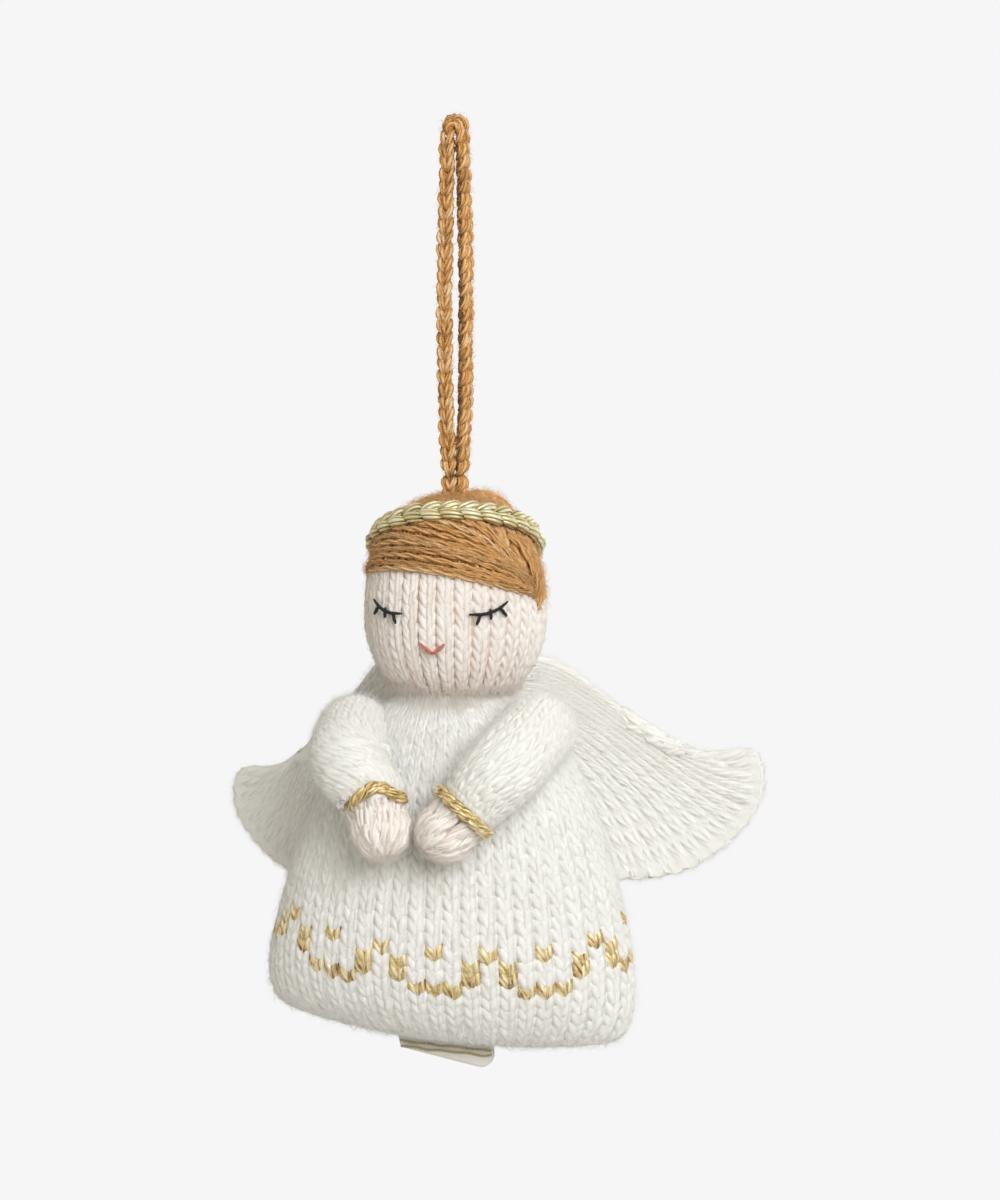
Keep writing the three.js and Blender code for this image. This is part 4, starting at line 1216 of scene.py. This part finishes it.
def make_knot():
    """Ends of the loop drawn into the crown, and the turns that tie them."""
    yarn = Yarn()
    fall = np.linspace(0, 1, 24)
    for side, swing in ((-1, 0), (1, 80)):
        x = side * (LOOP_LEG[0][1] + CORD / 2 - LOOP_PRESS[0]) * (1 - 0.35 * fall ** 2)
        line = np.stack([x, 0.3 * fall, LOOP_Z + 0.6 - (2 * KNOT_RADIUS + 0.6) * fall], axis=-1)[::side]
        face = [math.sin(math.radians(swing)), -math.cos(math.radians(swing)), 0]
        cord_chain(yarn, line, np.broadcast_to(face, line.shape), 2)
    base = np.array([0, 0, KNOT_Z - 1.2])
    winding(yarn, base, np.array([2.3, 2.0, 0.9]), 7, 0.6, 0.25, [0, 0, 1], stations=28)
    ball = unit(rng.normal(size=(KNOT_FIBRES, 3)))
    fuzz(yarn, base + ball * [2.6, 2.2, 2.4], ball, 1.5, COARSE_FIBRE, slot=1)
    finish(yarn, "knot_winding", [CARAMEL, CARAMEL_WISP], "knot", "caramel_yarn", "loop_knot")


def make_halo():
    round_ = np.linspace(0, 360, 241)
    z = halo_height(round_)
    lift = GAP + HALO_THICK / 2 - HALO_SEAT
    line = head_at(z, round_, lift)
    outs = unit(head_at(z, round_, lift + 1) - line)
    yarn = Yarn()
    wide, thick = HALO_TALL / 2 - 0.4, HALO_THICK / 2
    chain(yarn, line, outs, HALO_LINKS, wide, thick, 1.1, closed=True, steps=10, sides=12, shape=BRAID_LEG)
    finish(yarn, "halo_chain", [PALE_GOLD], "figure", "pale_gold_yarn", "halo")


def face_thread(yarn, round_, height, stand, thread):
    line = head_at(HEAD_Z + height, round_, stand)
    normal = unit(line - head_at(HEAD_Z + height, round_, stand - 1))
    taper = 1 - 0.45 * np.abs(np.linspace(-1, 1, len(line))) ** 3
    strand(yarn, line[None], normal[None], thread / 2 * taper, sides=6, turns=0.35, capped=True)


def make_face():
    share = np.linspace(0, 1, 30)
    lid = EYE_HEIGHT + EYE_RISE * np.maximum(0, (share - EYE_LEVEL) / (1 - EYE_LEVEL)) ** 2
    stand = GAP + EYE_THREAD / 2
    for side, sign in (("left", 1), ("right", -1)):
        yarn = Yarn()
        face_thread(yarn, sign * (EYE_INNER + (EYE_OUTER - EYE_INNER) * share), lid, stand, EYE_LINE)
        for start, end, fall, above in LASHES:
            top = np.interp((start - EYE_INNER) / (EYE_OUTER - EYE_INNER), share, lid) + above
            step = np.linspace(0, 1, 10)
            face_thread(yarn, sign * (start + (end - start) * step), top + fall * step, stand, EYE_LINE)
        finish(yarn, side + "_lid", [BLACK], "figure", "black_thread", side + "_eye")
    yarn = Yarn()
    for half in (-1, 1):
        across = half * np.linspace(1.05, -0.08, 12)
        dip = MOUTH_HEIGHT - MOUTH_DIP * (1 - np.abs(across) ** 1.35)
        face_thread(yarn, MOUTH_SIDE + MOUTH_HALF * across, dip, GAP + MOUTH_THREAD / 2, MOUTH_LINE)
    finish(yarn, "smile", [CORAL], "figure", "coral_thread", "mouth")


make_head()
make_fringe()
make_bun()
make_knot()
make_halo()
make_face()


# Arms

def arm_route(spec):
    def seat(station):
        share = dress_share(DRESS_HEIGHT - station[0])
        return dress_point(share, station[1]), dress_normal(share, station[1])

    sign = spec["sign"]
    top, top_out = seat(spec["shoulder"])
    bend, bend_out = seat(spec["elbow"])
    hand_x = HANDS_MEET + sign * (HAND_RADIUS + GAP)
    share = dress_share(DRESS_HEIGHT - HAND_DROP)
    wide = spline(DRESS_STATIONS, np.array([share]))[0, 0]
    angle = math.degrees(math.asin(hand_x / wide))
    belly = dress_point(share, angle)
    hand = np.array([hand_x, belly[1] - (HAND_RADIUS + GAP) / abs(dress_normal(share, angle)[1]), belly[2]])
    start = top + top_out * spec["stand"]
    middle = bend + bend_out * (ELBOW_RADIUS + GAP)
    reach = unit((hand - middle) * [spec["inward"], 1, 1])
    wrist = hand - reach * WRIST_RISE
    forearm = wrist - reach * WRIST_STRAIGHT
    curve = np.array([start, middle, forearm, wrist])
    return {"start": start, "hand": hand, "reach": reach, "curve": curve}


def tube_cloth(line, radii, columns, rows, samples=4):
    """Cloth round a line of points, its columns running along it."""
    both = evenly(np.column_stack([line, radii]), rows * samples + 1)
    line, radii = both[:, :3], both[:, 3]
    along = unit(np.gradient(line, axis=0))
    first = unit(np.array([0, 0, 1]) - along[:, 2:] * along)
    second = np.cross(along, first)
    turn = np.linspace(0, 2 * np.pi, columns * samples + 1)[:, None]
    ring = np.cos(turn) * first[:, None] + np.sin(turn) * second[:, None]
    return Cloth(line[:, None] + radii[:, None, None] * ring, columns, rows, closed=True)


def in_dress(points, margin=0):
    profile = [np.interp(points[..., 2], DRESS_LINE[:, 2], DRESS_LINE[:, k]) for k in (0, 1)]
    x = points[..., 0] - DRESS_LEAN * (DRESS_HEIGHT - points[..., 2])
    inside = np.hypot(x / (profile[0] - margin), points[..., 1] / (profile[1] - margin)) < 1
    return inside & (points[..., 2] < DRESS_HEIGHT)


def make_arm(spec):
    side, body = spec["side"], spec["side"] + "_arm"
    route = arm_route(spec)
    reach = route["reach"]
    share = np.linspace(0, 1, 80)
    run = spline(route["curve"], share)
    stations = [[0, SHOULDER_RADIUS], [1, ELBOW_RADIUS], [2, WRIST_RADIUS], [3, WRIST_RADIUS]]
    swell = spline(stations, share, False)
    away = unit(run[0] - run[1])
    cap = np.radians(np.linspace(84, 4, 12))
    line = np.vstack([route["start"] + away * SHOULDER_RADIUS * np.sin(cap)[:, None], run])
    radii = np.concatenate([SHOULDER_RADIUS * np.cos(cap), swell[:, 1]])
    sleeve = tube_cloth(line, radii, SLEEVE_COLUMNS, SLEEVE_ROWS)
    row_height = run_length(line)[-1] / SLEEVE_ROWS

    # The cuff arches up the side of the sleeve that faces forwards
    out = unit(np.array([0, -1, 0]) + reach * reach[1])
    first = unit(np.array([0, 0, 1]) - reach * reach[2])
    front = math.atan2(out @ np.cross(reach, first), out @ first) / (2 * math.pi) * SLEEVE_COLUMNS

    def cuff_row(column):
        turn = (np.asarray(column) - front) * 2 * np.pi / SLEEVE_COLUMNS
        arch = spec["arch"] * np.maximum(0, np.cos(turn))
        rise = CUFF_THREAD / 2 + GAP + arch + spec["tilt"] * np.sin(turn)
        return SLEEVE_ROWS - rise / row_height

    column, row = stitches_of(SLEEVE_COLUMNS, SLEEVE_ROWS)
    shown = ~in_dress(sleeve.at(column + 0.5, row + 0.5)[0], 1) & (row + 0.6 < cuff_row(column + 0.5))
    yarn = Yarn()
    knit(yarn, sleeve, column[shown], row[shown], sides=7, steps=6, flat=1.3)
    # Backing in painted shade colour between the sleeve stitches
    yarn.surface(sleeve.inside(WHITE_BACKING), slot=1)
    surface_fuzz(yarn, sleeve, SLEEVE_FIBRES, 1.9, keep=lambda p: ~in_dress(p), slot=2)
    materials = [WHITE, WHITE_INSIDE_SHADE, WHITE_WISP]
    finish(yarn, side + "_sleeve_knit", materials, body, "white_yarn", side + "_sleeve")
    inner = sleeve.inside(ARM_STUFFING_INSET)
    stuffing(side + "_arm_stuffing", body, side + "_arm_filling", inner[4:-2:3, ::3])

    # Hand: strands from the cuff, gathered at the tip
    bend = np.radians(np.array([0, 15, 30, 45, 60, 74, 86]))
    steps = np.concatenate([[GAP - WRIST_RISE, -WRIST_RISE / 2], HAND_RADIUS * np.sin(bend)])
    size = HAND_RADIUS * np.concatenate([[WRIST_SHARE, (1 + WRIST_SHARE) / 2], np.cos(bend)])
    hand = tube_cloth(route["hand"] + reach * steps[:, None], size, HAND_STRANDS, HAND_ROWS)
    yarn = Yarn()
    for layer, sink in ((0, 1.0), (0.5, 0.75)):
        for k in range(HAND_STRANDS):
            place = k + layer + rng.normal(0, 0.15)
            drift = rng.normal(0, 0.7)
            start = place / HAND_STRANDS * SLEEVE_COLUMNS
            rows = np.linspace(float(cuff_row(start)), SLEEVE_ROWS - 0.2, 5)
            upper, upper_out, _ = sleeve.at(np.full(5, start), rows)
            fall = np.linspace(1.6, 7.6 - 2 * layer * rng.random(), 8)
            lower, lower_out, _ = hand.at(place + drift * (fall / HAND_ROWS) ** 2, fall)
            taper = np.interp(fall, [1.6, 5, HAND_ROWS], [1, 1, 0.55])
            thick = HAND_YARN * np.concatenate([np.full(5, 1.0), taper])
            normal = np.vstack([upper_out, lower_out])
            line = np.vstack([upper, lower]) - normal * (sink + 0.3 * layer)
            even = np.linspace(0, 1, 26)
            both = spline(np.column_stack([line, thick]), even, False)[None]
            outs = spline(normal, even, False)[None]
            strand(yarn, both[..., :3], outs, both[..., 3], plies=2, sides=6, turns=0.13, capped=True)
    # Skin backing in painted shade colour under the hand strands
    yarn.surface(hand.inside(SKIN_BACKING), slot=1)
    # Painted-shade backing under the arch of the cuff
    round_ = np.linspace(0, SLEEVE_COLUMNS, 73)
    edge = cuff_row(round_)
    upper, upper_out, _ = sleeve.at(round_, edge + np.linspace(0, 1, 5)[:, None] * (SLEEVE_ROWS - edge))
    yarn.surface(upper - upper_out * 0.5, slot=1)
    surface_fuzz(yarn, hand, HAND_FIBRES, 1.3, FINE_FIBRE, slot=2)
    materials = [SKIN, SKIN_INSIDE_SHADE, SKIN_WISP]
    finish(yarn, side + "_hand_knit", materials, body, "skin_yarn", side + "_hand")

    turn = np.linspace(-CUFF_HALF_TURN, CUFF_HALF_TURN, 60) / 360 * SLEEVE_COLUMNS + front
    line, spoke, _ = sleeve.at(turn, cuff_row(turn))
    line = line + spoke * 0.4
    yarn = Yarn()
    links = int(run_length(line)[-1] / CUFF_LINK)
    chain(yarn, line, spoke, links, CUFF_THREAD * 0.62, CUFF_THREAD * 0.5, 0.66, sides=9)
    finish(yarn, side + "_cuff_thread", [GOLD], body, "gold_thread", side + "_cuff")


for arm in ARMS:
    make_arm(arm)


# Wings

def wing_grid(spec, share, along, stand):
    """Points of a wing at shares across its ribs and along them, moved off the middle of its cloth."""
    tops, middles, bottoms = (np.array(g, float)[:, None] for g in (TOP_GUIDES, MIDDLE_GUIDES, BOTTOM_GUIDES))
    s = share[:, None]
    guides = (1 - s) ** 2 * tops + 2 * s * (1 - s) * middles + s ** 2 * bottoms
    guides[0][:, 1] += spec["pucker"] * (1 - share) ** 2
    first, last = (np.array([WING_ROOT_SIDE, z]) for z in (WING_ROOT_RISE, -WING_ROOT_FALL))
    root = first * (1 - s) + last * s
    end = spline(WING_EDGE, share, False)
    end = end + unit(end - guides[1]) * (RIB_SCALLOP * np.cos(2 * np.pi * WING_RIBS * share))[:, None]
    t = along[:, None, None] * (1 - WING_CORNER * np.maximum(0, 1 - s / WING_CORNER_REACH) ** 2)
    left = 1 - t
    flat = left ** 3 * root + 3 * left ** 2 * t * guides[0] + 3 * left * t ** 2 * guides[1] + t ** 3 * end
    bow = WING_BOW * np.sin(np.pi * t[..., 0])
    y = WING_ROOT_BACK + WING_SWEEP * (flat[..., 0] - WING_ROOT_SIDE) + bow
    middle = np.stack([flat[..., 0], y, DRESS_HEIGHT + flat[..., 1]], axis=-1)
    back = unit(np.cross(np.gradient(middle, axis=0), np.gradient(middle, axis=1)))
    grown = np.minimum(1, along / RIB_GROWN)[:, None]
    wave = RIB_WAVE * grown * np.cos(2 * np.pi * WING_RIBS * share)
    points = middle + back * (wave + stand)[..., None]
    x, z = spec["sign"] * points[..., 0], points[..., 2] - WING_ROOT_Z
    turn = math.radians(-spec["sign"] * spec["lift"])
    x, z = x * math.cos(turn) + z * math.sin(turn), z * math.cos(turn) - x * math.sin(turn)
    return np.stack([x, points[..., 1], z + WING_ROOT_Z], axis=-1)


def make_wing(spec):
    side, body = spec["side"], spec["side"] + "_wing"
    share = np.linspace(0, 1, WING_RIBS * 4 + 1)
    along = np.linspace(0, 1, WING_ROWS * 4 + 1)
    ribs = Yarn()
    column, row = stitches_of(WING_RIBS, WING_ROWS)
    for stand, flip in ((-WING_FABRIC / 2, 1), (WING_FABRIC / 2, -1)):
        face = flip * spec["sign"]
        cloth = Cloth(wing_grid(spec, share, along, stand), WING_RIBS, WING_ROWS, flip=face)
        inset = 0.2 + column * (WING_RIBS - 0.4) / WING_RIBS
        knit(ribs, cloth, inset, row + 0.3, share=0.21, turned=True, least=0.26, flat=1.4)
        ribs.surface(cloth.inside(WING_BACKING), slot=2, turned=face < 0)
        surface_fuzz(ribs, cloth, WING_FIBRES, 1.6, slot=1)
    grid = wing_grid(spec, share, along, 0)
    rim = evenly(np.vstack([grid[:-1, 0], grid[-1], grid[-2::-1, -1]]), RIM_STATIONS)
    out = unit(rim - grid.reshape(-1, 3).mean(axis=0))
    strand(ribs, rim[None], out[None], WING_FABRIC / 2 - 0.25, plies=1, sides=8)
    fibres = np.repeat(np.arange(RIM_STATIONS), RIM_FIBRES)
    fuzz(ribs, rim[fibres] + out[fibres] * 0.7, out[fibres], 1.3, slot=1)
    ribs = finish(ribs, side + "_wing_ribs", [WHITE, WHITE_WISP, WHITE_FELT], body, "white_yarn")
    sheet = Yarn()
    sheet.surface(grid)
    piece = finish(sheet, side + "_wing_cloth", [WHITE_FELT], body, "white_yarn", side + "_wing")


def make_binding():
    centre = np.array([0, WING_ROOT_BACK - GAP, WING_ROOT_Z])
    half = np.array([WING_ROOT_SIDE - 2 * GAP, BINDING_DEPTH / 2, BINDING_HEIGHT / 2]) - 0.4
    yarn = Yarn()
    winding(yarn, centre, half, 18, 0.6, 0.12, [0, 0, 1], stations=36)
    winding(yarn, centre, half, 8, 0.6, 0.3, [1, 0, 0], stations=36)
    finish(yarn, "binding_wraps", [WHITE], "figure", "white_yarn", "wing_binding")


for wing in WINGS:
    make_wing(wing)
make_binding()


# Label

def make_label():
    lift = hem_lift(np.array([LABEL_SIDE - 0.5, LABEL_SIDE, LABEL_SIDE + 0.5]), 0)
    tilt = math.atan(lift[0] - lift[2])
    base = np.array([LABEL_SIDE + HEM_SHIFT, 0, lift[1] - SEAM_DROP])
    radius = LABEL_FOLD + LABEL_TAPE / 2
    bend = LABEL_FOLD + LABEL_TAPE - LABEL_DROP
    turn = np.linspace(np.pi, 2 * np.pi, 9)
    front = np.stack([np.full(10, -radius), np.linspace(LABEL_TUCK, bend, 11)[:-1]], axis=1)
    fold = np.stack([radius * np.cos(turn), bend + radius * np.sin(turn)], axis=1)
    line = np.vstack([front, fold, (front * [-1, 1])[::-1]])
    ahead = unit(np.gradient(line, axis=0))
    thick = np.stack([ahead[:, 1], -ahead[:, 0]], axis=1) * LABEL_TAPE / 2
    across = np.linspace(-LABEL_WIDTH / 2, LABEL_WIDTH / 2, 41)
    run = run_length(line)

    def lie(across, y, z):
        """Tape drawn out of square below the seam, tilted and set on it."""
        share = across / LABEL_WIDTH + 0.5
        low = np.minimum(z, 0)
        x = across - LABEL_SKEW * (low / LABEL_DROP) * (1 - share)
        curl = LABEL_CURL * np.clip((share - 0.8) / 0.2, 0, 1)
        x = x + curl * np.sin(np.pi * np.clip(-low / LABEL_DROP, 0, 1))
        corner = 1 - 0.3 * np.clip((share - 0.88) / 0.12, 0, 1) ** 2
        drawn = (LABEL_NEAR + (1 - LABEL_NEAR) * share) * corner
        z = np.maximum(z, 0) + low * drawn
        turned = [x * math.cos(tilt) + z * math.sin(tilt), y + 0 * x, z * math.cos(tilt) - x * math.sin(tilt)]
        return np.stack(turned, axis=-1) + base

    def layer(offset):
        y, z = (line + offset * thick).T[:, :, None]
        belly = LABEL_BELLY * np.sin(np.pi * run / run[-1])[:, None] * np.cos(np.pi * across / LABEL_WIDTH)
        return lie(across, y + np.sign(y) * belly, z)

    outer, inner = layer(1), layer(-1)
    tape = Yarn()
    tape.surface(outer)
    for k in (0, -1):
        tape.surface(np.stack([outer[:, k], inner[:, k]]), turned=k == 0)
    piece = tape.build("label_tape", [TAPE])
    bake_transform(piece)
    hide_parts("label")
    stitches = Yarn()
    reach = np.linspace(-LABEL_WIDTH / 2 + 0.3, LABEL_WIDTH / 2 - 0.3, 90)
    for face in (-1, 1):
        for level, wave in LABEL_ROWS:
            sway = wave * np.sin(reach * 1.1 + rng.random() * 6) + wave * np.sin(reach * 0.37)
            even = (level + sway) / (LABEL_NEAR + (1 - LABEL_NEAR) * (reach / LABEL_WIDTH + 0.5))
            row = lie(reach, face * (LABEL_FOLD + LABEL_TAPE + 0.3), even)
            out = np.array([0.0, face, 0.0])
            strand(stitches, row[None], out, LABEL_YARN, plies=2, turns=0.5, capped=True)
    stitches = finish(stitches, "label_stitches", [BROWN_THREAD], "label", "cotton_tape")


make_label()

bpy.context.scene.view_settings.view_transform = "Standard"
bpy.context.view_layer.update()
